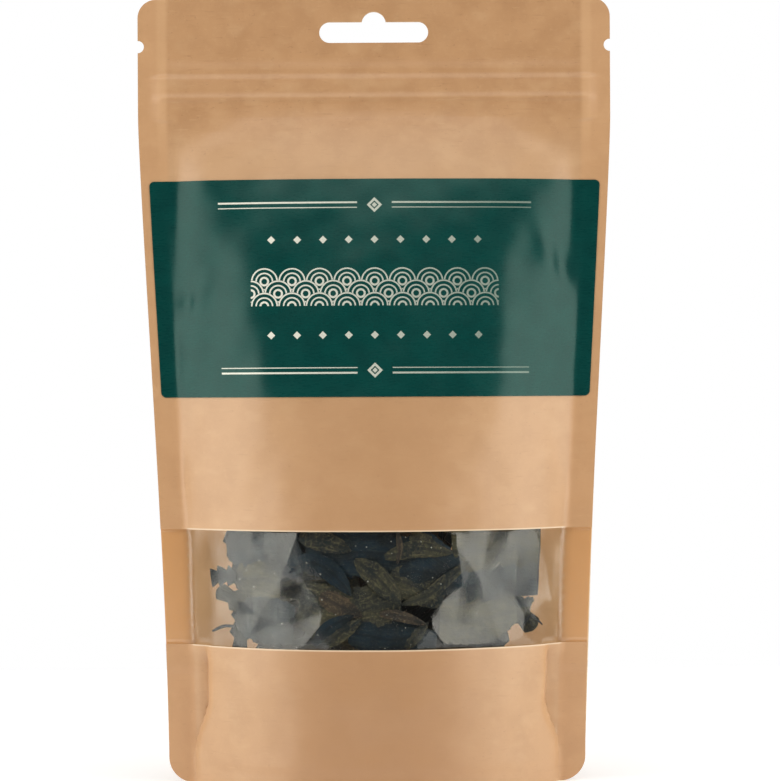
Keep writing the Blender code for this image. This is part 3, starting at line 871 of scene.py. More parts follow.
@dataclass(frozen=True)
class LabelFinish:
    """The label's satin print: deep green, with scallops between rules and small diamonds, pale to grey."""

    name: str = "label_print"
    green: Colour = (1, 61, 57)
    deep: Colour = (0, 49, 47)
    glint: tuple[float, ...] = (0.7, 1.0, 0.9, 1.0)
    cream: Colour = (228, 226, 214)
    grey: Colour = (124, 138, 128)
    middle: float = 146.0
    scallop: float = 8.0
    scallop_rows: int = 3
    band_half: float = 36.0
    line: float = 0.42
    rule_half: float = 46.0
    rule_offset: float = 25.0
    diamond_offset: float = 14.0
    diamond_pitch: float = 7.5
    diamond_half: float = 1.15
    diamond_reach: float = 33.75
    softness: float = 0.07

    def within(self, value: Signal, half: float) -> Signal:
        """1 where a value is within half of zero, with a soft edge."""
        return abs(value).ramp(half + self.softness, half - self.softness)

    def scallops(self, graph: Graph, across: Signal, up: Signal) -> Signal:
        """Rows of fish-scale arcs, each row behind the one below it.

        Args:
            graph: the material's tree.
            across: the place to the right of the middle line, in millimetres.
            up: the place above the label's middle, in millimetres.

        Returns:
            The share of ink, from 0 to 1.
        """
        radius = self.scallop / 2
        bottom = -radius * self.scallop_rows / 2 * 0.9
        ink: Signal | None = None
        for row in reversed(range(self.scallop_rows)):
            shift = radius if row % 2 else 0.0
            cell = graph.math("PINGPONG", across + (shift + 20 * self.scallop), radius)
            rise = up - (bottom + row * radius * 0.9)
            reach = graph.math("SQRT", cell * cell + rise * rise)
            arcs = self.within(reach - radius * 0.93, self.line / 2)
            arcs = arcs + self.within(reach - radius * 0.6, self.line / 2)
            arcs = arcs + self.within(reach - radius * 0.28, 0.28)
            disc = reach.ramp(radius + 0.05, radius - 0.05)
            ink = arcs if ink is None else arcs * disc + ink * (1 - disc)
        keep = up.ramp(bottom - 0.05, bottom + 0.05) * self.within(across, self.band_half)
        return ink.clamp() * keep

    def diamonds(self, graph: Graph, across: Signal, up: Signal) -> Signal:
        """A row of small diamonds.

        Args:
            graph: the material's tree.
            across: the place to the right of the middle line, in millimetres.
            up: the place above the row, in millimetres.

        Returns:
            The share of ink, from 0 to 1.
        """
        cell = graph.math("PINGPONG", across + self.diamond_pitch * 20, self.diamond_pitch / 2)
        shape = (cell + abs(up)).ramp(self.diamond_half + 0.08, self.diamond_half - 0.08)
        return shape * self.within(across, self.diamond_reach)

    def ornament(self, graph: Graph, across: Signal, height: Signal) -> Signal:
        """Where the label is printed pale: the scallop band, the diamonds and the rules.

        Args:
            graph: the material's tree.
            across: the place to the right of the middle line, in millimetres.
            height: the place above the bottom rim, in millimetres.

        Returns:
            The share of ink, from 0 to 1.
        """
        up = height - self.middle
        ink = self.scallops(graph, across, up)
        mirrored = abs(up)
        ink = ink + self.diamonds(graph, across, mirrored - self.diamond_offset)
        gap = abs(across).ramp(5.0, 5.1)
        thick = self.within(mirrored - self.rule_offset, 0.26)
        thin = self.within(mirrored - (self.rule_offset - 1.5), 0.13)
        ink = ink + (thick + thin) * self.within(across, self.rule_half) * gap
        star = abs(across) + abs(mirrored - (self.rule_offset - 0.75))
        ink = ink + star.ramp(2.3, 2.15) * (1 - star.ramp(1.35, 1.2)) + star.ramp(0.85, 0.7)
        return ink.clamp()

    def build(self) -> bpy.types.Material:
        """Makes the material.

        Returns:
            The material.
        """
        graph = Graph.material(self.name)
        across, height, _ = graph.axes(graph.millimetres(source="UV"))
        place = graph.millimetres()
        clouds = graph.noise(place, 0.16, 3.0)
        grain = graph.noise(graph.millimetres((0.35, 0.35, 1.5)), 1.2, 2.0)
        ink = self.ornament(graph, across, height)
        shade = (across / (2 * self.band_half) + 0.5 + (clouds - 0.5) * 0.2).clamp()
        print_colour = graph.mix(shade, self.cream, self.grey)
        ground = graph.mix(clouds.ramp(0.3, 0.7) * 0.5, self.green, self.deep)
        inputs = {
            "Base Color": graph.mix(ink, ground, print_colour),
            "Specular IOR Level": 0.4,
            "Specular Tint": self.glint,
            "Roughness": grain * 0.08 + 0.24 - ink * 0.04,
            "Normal": graph.bump(grain * 0.5 + clouds * 0.6 + ink * 0.15, 0.03 * MM, 0.3),
        }
        return graph.coat(inputs)


@dataclass(frozen=True)
class ZipFinish:
    """The milky plastic of the zip."""

    name: str = "zip_plastic"
    base: Colour = (220, 214, 202)
    shade: Colour = (196, 188, 172)

    def build(self) -> bpy.types.Material:
        """Makes the material.

        Returns:
            The material.
        """
        graph = Graph.material(self.name)
        drawn = graph.noise(graph.millimetres((0.1, 1, 1)), 1.4, 2.0)
        inputs = {
            "Base Color": graph.mix(drawn, self.base, self.shade),
            "Roughness": drawn * 0.15 + 0.28,
            "Normal": graph.bump(drawn, 0.08 * MM, 0.3),
        }
        return graph.coat(inputs)


@dataclass(frozen=True)
class WrackFinish:
    """Dried wrack: dark olive to blue-black, leathery, wrinkled along its length, with specks of salt."""

    name: str
    base: Colour
    dark: Colour
    olive: Colour
    salt: Colour = (214, 214, 204)
    seed: float = 0.0

    def build(self) -> bpy.types.Material:
        """Makes the material.

        Returns:
            The material.
        """
        graph = Graph.material(self.name)
        place = graph.millimetres()
        along, across, _ = graph.axes(graph.millimetres(source="UV"))
        drawn_out = {0: along * 0.16, 1: across * 1.1, 2: self.seed}
        lengthwise = Signal(graph, graph.node("ShaderNodeCombineXYZ", {}, drawn_out).outputs[0])
        ridges = graph.noise(lengthwise, 1.0, 3.0, 0.6)
        patches = graph.noise(place, 0.13, 2.0)
        leather = graph.noise(place, 1.3, 4.0, 0.65)
        midrib = abs(across).ramp(0.7, 0.1)
        strewn = graph.noise(place, 0.35, 1.0).ramp(0.5, 0.62)
        crystals = graph.cells(place, 0.5).ramp(0.13, 0.06) * strewn
        colour = graph.mix(patches.ramp(0.35, 0.65), self.base, self.dark)
        colour = graph.mix(ridges.ramp(0.5, 0.8) * 0.55, colour, self.olive)
        colour = graph.mix(leather.ramp(0.45, 0.75) * 0.5, colour, self.olive)
        colour = graph.mix(midrib * 0.6, colour, self.dark)
        inputs = {
            "Base Color": graph.mix(crystals * 0.8, colour, self.salt),
            "Roughness": (leather * 0.3 + 0.2 + crystals * 0.3).clamp(),
            "Specular IOR Level": 0.2,
            "Normal": graph.bump(ridges * 1.2 + leather * 0.9 + crystals * 0.5, 0.4 * MM, 0.8),
        }
        return graph.coat(inputs)


@dataclass(frozen=True)
class FloorFinish:
    """A plain pale floor."""

    name: str = "pale_floor"
    base: Colour = (244, 246, 250)
    shade: Colour = (240, 242, 246)
    glow: float = 0.24

    def build(self) -> bpy.types.Material:
        """Makes the material.

        Returns:
            The material.
        """
        graph = Graph.material(self.name)
        clouds = graph.noise(graph.millimetres(), 0.01, 2.0)
        inputs = {
            "Base Color": graph.mix(clouds, self.base, self.shade),
            "Roughness": 0.9,
            "Emission Color": WHITE,
            "Emission Strength": self.glow,
        }
        return graph.coat(inputs)


class Bench:
    """The operators that each piece is made with."""

    @staticmethod
    def clear() -> None:
        """Deselects everything."""
        bpy.ops.object.select_all(action="DESELECT")

    @classmethod
    def alone(cls, piece: bpy.types.Object) -> None:
        """Makes a piece the only one that is selected, and the active one.

        Args:
            piece: the piece.
        """
        cls.clear()
        piece.select_set(True)
        bpy.context.view_layer.objects.active = piece

    @classmethod
    def grid(cls, name: str, across: int, up: int) -> bpy.types.Object:
        """A new flat grid from -1 to 1, whose points are then moved to their places.

        Args:
            name: the piece's name.
            across: how many faces it has along X.
            up: how many faces it has along Y.

        Returns:
            The new piece.
        """
        cls.clear()
        bpy.ops.mesh.primitive_grid_add(x_subdivisions=across, y_subdivisions=up, size=2.0)
        piece = bpy.context.object
        piece.name = name
        piece.data.name = name
        return piece

    @classmethod
    def apply(cls, piece: bpy.types.Object, kind: str, **settings: object) -> None:
        """Adds a modifier to a piece and applies it.

        Args:
            piece: the piece.
            kind: the modifier's type.
            settings: its properties.
        """
        cls.alone(piece)
        modifier = piece.modifiers.new(kind.lower(), kind)
        for key, value in settings.items():
            setattr(modifier, key, value)
        bpy.ops.object.modifier_apply(modifier=modifier.name)

    @classmethod
    def cut(cls, piece: bpy.types.Object, cutter: bpy.types.Object, operation: str = "DIFFERENCE") -> None:
        """Cuts a piece with another, which is then removed."""
        cls.apply(piece, "BOOLEAN", operation=operation, object=cutter, solver="EXACT")
        bpy.data.objects.remove(cutter)

    @classmethod
    def outward(cls, piece: bpy.types.Object) -> None:
        """Turns a closed piece's faces outwards.

        Args:
            piece: the piece.
        """
        cls.alone(piece)
        bpy.ops.object.mode_set(mode="EDIT")
        bpy.ops.mesh.select_all(action="SELECT")
        bpy.ops.mesh.normals_make_consistent(inside=False)
        bpy.ops.object.mode_set(mode="OBJECT")

    @classmethod
    def smooth(cls, piece: bpy.types.Object, degrees: float = 35.0) -> None:
        """Shades a piece smooth, apart from edges sharper than an angle."""
        cls.alone(piece)
        bpy.ops.object.shade_smooth_by_angle(angle=math.radians(degrees))

    @staticmethod
    def corners(piece: bpy.types.Object) -> Array:
        """The places of a piece's points, one row each.

        Args:
            piece: the piece.

        Returns:
            The points, in the mesh's order.
        """
        places = np.zeros(len(piece.data.vertices) * 3)
        piece.data.vertices.foreach_get("co", places)
        return places.reshape(-1, 3)

    @staticmethod
    def move_corners(piece: bpy.types.Object, places: Array) -> None:
        """Sets the places of a piece's points."""
        piece.data.vertices.foreach_set("co", places.astype(np.float32).ravel())
        piece.data.update()

    @staticmethod
    def map_flat(piece: bpy.types.Object, flat: Array, name: str = "flat") -> None:
        """Gives a piece a UV map from two numbers for each of its points, in metres.

        Args:
            piece: the piece.
            flat: the two numbers, one row for each point.
            name: the map's name.
        """
        while piece.data.uv_layers:
            piece.data.uv_layers.remove(piece.data.uv_layers[0])
        layer = piece.data.uv_layers.new(name=name)
        loops = np.zeros(len(piece.data.loops), dtype=np.int32)
        piece.data.loops.foreach_get("vertex_index", loops)
        layer.data.foreach_set("uv", flat[loops].astype(np.float32).ravel())

    @classmethod
    def settle(cls, piece: bpy.types.Object, slot: str, *nodes: str) -> None:
        """Puts a piece on the model's one body, in place of the nodes that it stands for.

        Args:
            piece: the piece.
            slot: its material slot; not used.
            nodes: the model's nodes that it stands for.
        """
        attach(piece, "root")
        if nodes:
            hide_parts(*nodes)
        piece.data.calc_loop_triangles()
        log.info("%s: %d triangles", piece.name, len(piece.data.loop_triangles))


@dataclass(frozen=True)
class FlatSheet:
    """A sheet as it is cut: a slab whose X runs across and Z up, from its inner face to its outer one.

    Attributes:
        name: the piece's name.
        columns: its upright lines.
        rows: its level lines.
        lined: whether its inner face has a finish of its own, which is its third.
        slab: how deep it is until it is laid.
    """

    name: str
    columns: Sequence[float]
    rows: Sequence[float]
    lined: bool = False
    slab: float = 1 * MM

    def build(self) -> bpy.types.Object:
        """Makes the slab from a grid that is given its lines and a thickness.

        Returns:
            The slab.
        """
        columns = np.array(self.columns)
        rows = np.array(self.rows)
        piece = Bench.grid(self.name, len(columns) - 1, len(rows) - 1)
        grid = Bench.corners(piece)
        across = columns[np.rint((grid[:, 0] + 1) / 2 * (len(columns) - 1)).astype(int)]
        up = rows[np.rint((grid[:, 1] + 1) / 2 * (len(rows) - 1)).astype(int)]
        Bench.move_corners(piece, np.stack((across, np.zeros(len(grid)), up), axis=-1))
        Bench.apply(piece, "SOLIDIFY", thickness=self.slab, offset=1.0)
        return piece

    def lay(
        self,
        piece: bpy.types.Object,
        form: PouchForm,
        side: Side,
        inner: Callable[[Array, Array], Array],
        thickness: float,
        flip: bool = False,
    ) -> None:
        """Lays the cut slab on the filled pouch, with its flat place as its UV map.

        Its rim gets the second finish, and the inner face of a lined sheet the third.

        Args:
            piece: the slab.
            form: the pouch's shape.
            side: the wall that it belongs to.
            inner: how far out its inner face is, from across and height.
            thickness: how thick it is.
            flip: whether its UV map is turned left to right, as for the back.
        """
        flat = Bench.corners(piece)
        across = flat[:, 0].copy()
        height = flat[:, 2].copy()
        share = np.clip(-flat[:, 1] / self.slab, 0.0, 1.0)
        for polygon in piece.data.polygons:
            lining = self.lined and polygon.normal.y > 0.5
            polygon.material_index = 2 if lining else int(abs(polygon.normal.y) < 0.5)
        offset = inner(across, height) + thickness * share
        Bench.map_flat(piece, np.stack((-across if flip else across, height), axis=-1))
        Bench.move_corners(piece, form.lay(side, across, height, offset))
        if side is Side.BACK:
            Bench.outward(piece)
        Bench.smooth(piece)


@dataclass(frozen=True)
class Cutters:
    """The tools that give the flat sheets their outline, the hang slot and the tear notches."""

    form: PouchForm
    depth: float = 12 * MM
    slot_half: float = 16.15 * MM
    slot_bottom: float = 218.9 * MM
    slot_top: float = 225.1 * MM
    hump_top: float = 228.1 * MM
    hump_radius: float = 3.6 * MM
    notch_height: float = 218 * MM
    notch_radius: float = 1.85 * MM
    top_corner: float = 5.5 * MM
    bottom_corner: float = 7.5 * MM

    def rod(self, across: float, height: float, radius: float, sides: int = 48) -> bpy.types.Object:
        """A round tool through the sheet.

        Args:
            across: how far right of the middle line it is.
            height: how far above the bottom rim it is.
            radius: its radius.
            sides: how many sides it has.

        Returns:
            The tool.
        """
        Bench.clear()
        turned = (math.pi / 2, 0.0, 0.0)
        bpy.ops.mesh.primitive_cylinder_add(
            vertices=sides, radius=radius, depth=self.depth, location=(across, 0.0, height), rotation=turned
        )
        bpy.ops.object.transform_apply(location=True, rotation=True, scale=True)
        return bpy.context.object

    def slot(self) -> bpy.types.Object:
        """The slot's tool: a rod whose right half is drawn out to the slot's other end.

        Returns:
            The tool.
        """
        radius = (self.slot_top - self.slot_bottom) / 2
        reach = self.slot_half - radius
        tool = self.rod(-reach, (self.slot_top + self.slot_bottom) / 2, radius, 46)
        places = Bench.corners(tool)
        places[places[:, 0] > -reach, 0] += 2 * reach
        Bench.move_corners(tool, places)
        return tool

    def plate(self, half: float, bottom: float, top: float, below: float, above: float) -> bpy.types.Object:
        """The outline's tool: a plate as wide as the sheet, with its lower and upper corners rounded.

        Args:
            half: half its width.
            bottom: the height of its lower edge.
            top: the height of its upper edge.
            below: the radius of its lower corners.
            above: the radius of its upper corners.

        Returns:
            The tool.
        """
        Bench.clear()
        bpy.ops.mesh.primitive_cube_add(size=1.0, location=(0.0, 0.0, (bottom + top) / 2))
        tool = bpy.context.object
        tool.scale = (2 * half, self.depth, top - bottom)
        bpy.ops.object.transform_apply(location=True, rotation=True, scale=True)
        for level, radius in ((bottom, below), (top, above)):
            if radius:
                self.round_corners(tool, level, radius)
        return tool

    @staticmethod
    def round_corners(tool: bpy.types.Object, level: float, radius: float) -> None:
        """Bevels the two edges of a plate that run through the sheet at a level.

        Args:
            tool: the plate.
            level: the height of the two edges.
            radius: the radius of the corners.
        """
        bpy.ops.object.mode_set(mode="EDIT")
        bpy.ops.mesh.select_mode(type="EDGE")
        bpy.ops.mesh.select_all(action="DESELECT")
        cage = bmesh.from_edit_mesh(tool.data)
        for edge in cage.edges:
            first, second = (vert.co for vert in edge.verts)
            through = abs(first.y - second.y) > MM
            if through and abs(first.z - level) < MM / 10:
                edge.select_set(True)
        bmesh.update_edit_mesh(tool.data)
        bpy.ops.mesh.bevel(offset=radius, segments=12, affect="EDGES", profile=0.5)
        bpy.ops.object.mode_set(mode="OBJECT")

    def open_top(self, piece: bpy.types.Object) -> None:
        """Cuts the hang slot with its hump, and a tear notch in each side.

        Args:
            piece: the sheet, while it is flat.
        """
        Bench.cut(piece, self.slot())
        Bench.cut(piece, self.rod(0.0, self.hump_top - self.hump_radius, self.hump_radius))
        for edge in (-self.form.half_width, self.form.half_width):
            Bench.cut(piece, self.rod(edge, self.notch_height, self.notch_radius, 24))


@dataclass
class PaperWalls:
    """The kraft paper: the two lanes of the front, and the back."""

    form: PouchForm
    front_relief: FrontRelief
    back_relief: BackRelief
    cutters: Cutters
    thickness: float = 0.6 * MM
    step: float = 1.2 * MM
    back_step: float = 1.6 * MM
    spare: float = 1 * MM
    finishes: list[bpy.types.Material] = field(default_factory=list)

    def front_inside(self, across: Array, height: Array) -> Array:
        """How far out the front's inner face is."""
        return self.form.inside(across, height) + self.front_relief.at(across, height)

    def back_inside(self, across: Array, height: Array) -> Array:
        """How far out the back's inner face is."""
        return self.form.inside(across, height) + self.back_relief.at(across, height)

    def columns(self, step: float) -> list[float]:
        """The upright lines of a full-width sheet, a little past its edges."""
        edge = self.form.half_width + self.spare
        return lines(-edge, edge, step)

    def upper_rows(self, start: float, step: float) -> list[float]:
        """The level lines up to the top edge, closer together where the zip is.

        Args:
            start: the lowest line.
            step: about how far apart the lines are.

        Returns:
            The lines, from the lowest to the highest.
        """
        near_zip = lines(self.form.pinch - 4 * MM, self.form.zip_top + 3 * MM, 0.45 * MM)
        below = lines(start, near_zip[0], step)
        above = lines(near_zip[-1], self.form.top + self.spare, step)
        return below[:-1] + near_zip + above[1:]

    def dress(self, piece: bpy.types.Object, slot: str, *nodes: str) -> None:
        """Gives a wall its paper and its cut edge.

        Args:
            piece: the piece.
            slot: its material slot.
            nodes: the model's nodes that it stands for.
        """
        for finish in self.finishes:
            piece.data.materials.append(finish)
        Bench.settle(piece, slot, *nodes)

    def make_front_upper(self) -> None:
        """The upper lane, with the slot, the notches and the round top corners."""
        rows = self.upper_rows(WINDOW_TOP, self.step)
        sheet = FlatSheet("front_kraft_upper", self.columns(self.step), rows, lined=True)
        piece = sheet.build()
        low = WINDOW_TOP - 10 * MM
        outline = self.cutters.plate(self.form.half_width, low, self.form.top, 0.0, self.cutters.top_corner)
        Bench.cut(piece, outline, "INTERSECT")
        self.cutters.open_top(piece)
        sheet.lay(piece, self.form, Side.FRONT, self.front_inside, self.thickness)
        self.dress(piece, "kraft_paper", "front_paper_upper")

    def make_front_lower(self) -> None:
        """The lower lane, with the round bottom corners."""
        rows = lines(-self.spare, WINDOW_BOTTOM, self.step)
        sheet = FlatSheet("front_kraft_lower", self.columns(self.step), rows, lined=True)
        piece = sheet.build()
        high = WINDOW_BOTTOM + 10 * MM
        outline = self.cutters.plate(self.form.half_width, 0.0, high, self.cutters.bottom_corner, 0.0)
        Bench.cut(piece, outline, "INTERSECT")
        sheet.lay(piece, self.form, Side.FRONT, self.front_inside, self.thickness)
        self.dress(piece, "kraft_paper", "front_paper_lower")

    def make_back(self) -> None:
        """The back, in one piece from rim to rim."""
        rows = self.upper_rows(-self.spare, self.back_step)
        sheet = FlatSheet("back_kraft", self.columns(self.back_step), rows, lined=True)
        piece = sheet.build()
        corners = (self.cutters.bottom_corner, self.cutters.top_corner)
        outline = self.cutters.plate(self.form.half_width, 0.0, self.form.top, *corners)
        Bench.cut(piece, outline, "INTERSECT")
        self.cutters.open_top(piece)
        sheet.lay(piece, self.form, Side.BACK, self.back_inside, self.thickness, flip=True)
        self.dress(piece, "kraft_back", "back_panel")

    def build(self) -> None:
        """Makes the three walls; their inner faces are painted paler and given a painted glow, which stands
        in for light soaking through the paper.
        """
        # The outer paper's seam tint, low tint and middle share are painted light and shade; the back paper
        # has them too.
        paper = KraftFinish(
            "kraft_paper",
            seam_light_shade_tint=(204, 160, 118),
            seam_light_shade_share=0.5,
            stripe_share=0.25,
            lower_light_share=0.34,
            middle_shade_share=0.74,
            cuts=(WINDOW_BOTTOM / MM, WINDOW_TOP / MM),
        )
        # The lining is painted paler and glows, painted light for the light that soaks through the paper; its
        # darker seam tint is painted shade.
        inside = KraftFinish(
            "kraft_lining",
            base=(198, 160, 120),
            dark=(180, 142, 104),
            pale=(212, 176, 138),
            glow=0.5,
            seam_light_shade_tint=(168, 120, 74),
            seam_light_shade_share=0.8,
            seam_start=60.0,
            seal_share=0.6,
        )
        self.finishes = [paper.build(), CutEdgeFinish().build(), inside.build()]
        self.make_front_upper()
        self.make_front_lower()
        self.finishes[0] = replace(paper, name="kraft_paper_back", cuts=()).build()
        self.make_back()


# The two stars of folds in the film: the first point is where their folds meet.
LEFT_FOLDS = FoldNet(
    points=(
        (-28.5, 62, -1.3), (-27, 65.2, -0.55), (-23.3, 73.5, 0.2), (-22.8, 77, 0.15), (-31, 70, -0.85),
        (-38.5, 70.5, -0.25), (-38.5, 77, -0.4), (-31, 77, -1.25), (-45.6, 67.5, 0.45), (-47.5, 77, 0.35),
        (-42.7, 55.5, 0.05), (-34.8, 58.3, -1.2), (-32.7, 56.3, -0.65), (-35.6, 51, -0.25),
        (-39.7, 44.1, -0.4), (-41, 40, -0.35), (-47.5, 44, -0.25), (-46.5, 50, -0.15),
        (-21.5, 60.5, -0.65), (-16.9, 55.5, 0.05), (-15.1, 51.7, 0.4), (-16.2, 47.6, 0.75),
        (-19.2, 44.1, 0.6), (-22.5, 40, 0.25), (-34, 46.8, -0.7), (-27, 48.6, -0.75), (-32, 40, -0.65),
        (-53, 62, 0), (-53, 77, 0), (-53, 40, 0), (-10, 52, 0), (-15, 61, 0), (-18.5, 77, 0),
        (-14, 40, 0), (-49.5, 58, 0),
    ),
    folds=(
        (0, 1), (1, 2), (2, 3), (0, 4), (4, 5), (5, 8), (0, 8), (0, 11), (11, 10), (0, 12), (12, 13),
        (13, 14), (14, 15), (0, 18), (18, 19), (19, 20), (20, 21), (21, 22), (22, 23), (24, 25), (25, 20),
        (4, 7), (5, 6), (10, 17), (17, 16), (13, 24), (24, 14),
    ),
)
RIGHT_FOLDS = FoldNet(
    points=(
        (31.4, 61.2, 0), (28.1, 65.4, 0.2), (23.5, 71, 0.75), (23.2, 77, 0.8), (33, 68.6, -0.6),
        (41, 68.4, -0.1), (41, 74, -0.05), (33.5, 74.5, -0.7), (48, 77, 0.05), (43, 64.2, -0.3),
        (55.5, 64.2, 0.2), (42.5, 55.5, -0.55), (36.5, 57, -0.5), (34.2, 54, 0.3), (37.7, 44.1, 0.65),
        (38.5, 40, 0.55), (45.5, 44, 0.55), (46.5, 50, 0.4), (25.5, 59.5, 0.1), (19.2, 54.8, 0.65),
        (15.3, 51.8, 1.2), (15.6, 47, 1.7), (19, 42.6, 1.6), (20, 40, 1.55), (16.3, 50.2, 1.15),
        (26, 47.6, 0.1), (34.7, 44.1, 0.3), (30, 40, 0.45), (57.5, 54, 0), (57.5, 77, 0), (54, 40, 0),
        (10, 50, 0), (15, 60, 0), (18, 77, 0), (12, 40, 0),
    ),
    folds=(
        (0, 1), (1, 2), (2, 3), (0, 4), (4, 7), (5, 6), (7, 6), (4, 5), (5, 9), (0, 9), (9, 10), (0, 12),
        (12, 11), (0, 13), (13, 14), (14, 15), (0, 18), (18, 19), (19, 20), (20, 21), (21, 22), (24, 25),
        (25, 26), (11, 17), (17, 16), (20, 24),
    ),
)


@dataclass
class WindowFilm:
    """The clear strip behind the gap between the two front lanes, with the folds that it has taken."""

    form: PouchForm
    relief: FrontRelief
    bottom: float = 35 * MM
    top: float = 81 * MM
    half_width: float = 69.7 * MM
    thickness: float = 0.16 * MM
    step: float = 0.5 * MM
    shrink: Ripples = Ripples(5, 14 * MM, 30 * MM, 0.03 * MM)
    folds: tuple[FoldNet, ...] = (LEFT_FOLDS, RIGHT_FOLDS)
    dimple_depth: float = 0.1 * MM
    dimple_width: float = 0.9 * MM
    flush: float = 0.4 * MM

    def dimples(self, across: Array, height: Array) -> Array:
        """The row of small dimples that the heat seal leaves beside each seam."""
        beside = np.exp(-(((np.abs(across) - SEAL_PLACE * MM) / self.dimple_width) ** 2))
        return -self.dimple_depth * beside * (0.5 + 0.5 * np.sin(math.tau * height / (SEAL_PITCH * MM)))

    def inside(self, across: Array, height: Array) -> Array:
        """How far out the film's inner face is.

        Args:
            across: places along the sheet, to the right.
            height: places above the bottom rim.

        Returns:
            The distance at each place.
        """
        free = 1 - smooth_step(np.abs(across), 57 * MM, 63 * MM)
        shown = band(height, WINDOW_BOTTOM + 1.5 * MM, WINDOW_TOP - 1.5 * MM, 2.5 * MM)
        folds = sum(net.at(across, height) for net in self.folds) + self.shrink.at(across, height)
        outward = np.maximum(folds, 0.0) * shown
        inward = np.minimum(folds, 0.0)
        pressed = self.flush * smooth_step(np.abs(across), 61 * MM, 67 * MM)
        pressed = pressed * band(height, WINDOW_BOTTOM + 1 * MM, WINDOW_TOP - 1 * MM, 0.8 * MM)
        taken = (outward + inward) * free + self.dimples(across, height) + pressed
        return self.relief.at(across, height) - self.thickness / 2 + taken

    def build(self) -> None:
        """Makes the film."""
        columns = lines(-self.half_width, self.half_width, self.step)
        sheet = FlatSheet("clear_window", columns, lines(self.bottom, self.top, self.step))
        piece = sheet.build()
        sheet.lay(piece, self.form, Side.FRONT, self.inside, self.thickness)
        for polygon in piece.data.polygons:
            polygon.material_index = 0
        Bench.smooth(piece, 80)
        piece.data.materials.append(FilmFinish().build())
        Bench.settle(piece, "clear_film", "window_film")


@dataclass
class PrintedLabel:
    """The label on the upper lane: it lies on the paper and follows it."""

    walls: PaperWalls
    bottom: float = 114 * MM
    top: float = 178 * MM
    half_width: float = 67.5 * MM
    corner: float = 1.5 * MM
    thickness: float = 0.2 * MM
    glue: float = 0.02 * MM
    step: float = 1.1 * MM

    def inside(self, across: Array, height: Array) -> Array:
        """How far out the label's glued face is."""
        return self.walls.front_inside(across, height) + self.walls.thickness + self.glue

    def build(self) -> None:
        """Makes the label."""
        spare = 1 * MM
        columns = lines(-self.half_width - spare, self.half_width + spare, self.step)
        sheet = FlatSheet("label_sheet", columns, lines(self.bottom - spare, self.top + spare, self.step))
        piece = sheet.build()
        outline = self.walls.cutters.plate(self.half_width, self.bottom, self.top, self.corner, self.corner)
        Bench.cut(piece, outline, "INTERSECT")
        sheet.lay(piece, self.walls.form, Side.FRONT, self.inside, self.thickness)
        piece.data.materials.append(LabelFinish().build())
        piece.data.materials.append(CutEdgeFinish("label_cut_edge", (70, 112, 104), (40, 88, 80)).build())
        Bench.settle(piece, "label_print", "label")


@dataclass
class BottomGusset:
    """The folded web under the contents: a skirt inside each wall's rim, and a saddle between them."""

    form: PouchForm
    half_arc: float = 61 * MM
    lift: float = 0.3 * MM
    skirt_top: float = 4.5 * MM
    ridge_middle: float = 15 * MM
    ridge_ends: float = 37 * MM
    ridge_power: float = 2.5
    thickness: float = 0.36 * MM
    columns: int = 72
    tent_steps: int = 30
    skirt_steps: int = 4
    pleats: Ripples = Ripples(31, 10 * MM, 26 * MM, 0.16 * MM)

    def profile(self) -> list[tuple[float, float]]:
        """The rows from front to back: each one's share of the wall's depth, and of the climb to the fold.

        Returns:
            One pair for each row.
        """
        skirt = [(-1.0, step / self.skirt_steps) for step in range(self.skirt_steps)]
        tent = [(2 * step / self.tent_steps - 1, 1.0) for step in range(self.tent_steps + 1)]
        return skirt + tent + [(1.0, climb) for _, climb in reversed(skirt)]

    def build(self) -> None:
        """Makes the web."""
        rows = self.profile()
        piece = Bench.grid("base_gusset", self.columns, len(rows) - 1)
        grid = Bench.corners(piece)
        row = np.array(rows)[np.rint((grid[:, 1] + 1) / 2 * (len(rows) - 1)).astype(int)]
        across = grid[:, 0] * self.half_arc
        rim = self.form.lay(Side.FRONT, across, np.zeros(len(grid)), np.full(len(grid), -0.05 * MM))
        reach = self.form.lay(Side.FRONT, np.array([self.form.wall]), np.zeros(1), np.zeros(1))[0, 0]
        ends = np.minimum(np.abs(rim[:, 0]) / reach, 1.0) ** self.ridge_power
        ridge = self.ridge_middle + (self.ridge_ends - self.ridge_middle) * ends
        tent = self.skirt_top + (ridge - self.skirt_top) * (1 - row[:, 0] ** 2)
        tent += self.pleats.at(across, row[:, 0] * self.form.deepest) * (1 - row[:, 0] ** 2)
        height = np.where(row[:, 1] < 1, blend(self.lift, self.skirt_top, row[:, 1]), tent)
        out = -rim[:, 1] * row[:, 0] * (1 - self.form.tucked(across, height))
        Bench.move_corners(piece, np.stack((rim[:, 0], out, height), axis=-1))
        Bench.apply(piece, "SOLIDIFY", thickness=self.thickness, offset=0.0, use_even_offset=True)
        Bench.smooth(piece)
        piece.data.materials.append(KraftFinish("kraft_gusset", (190, 150, 112), (168, 126, 88)).build())
        Bench.settle(piece, "kraft_back", "bottom_gusset")


@dataclass
class PressedZip:
    """The two strips of the zip, which are the model's own nodes."""

    nodes: dict
    names: tuple[str, ...] = ("zip_groove_strip", "zip_rib_strip")

    def build(self) -> None:
        """Gives the strips their plastic."""
        plastic = ZipFinish().build()
        for name in self.names:
            strip = self.nodes[name]
            strip.data.materials.clear()
            strip.data.materials.append(plastic)
            log.info("%s: dressed", name)


class Tone(Enum):
    """The colour that a piece of wrack has dried to."""

    BLUE = 0
    OLIVE = 1
    BROWN = 2


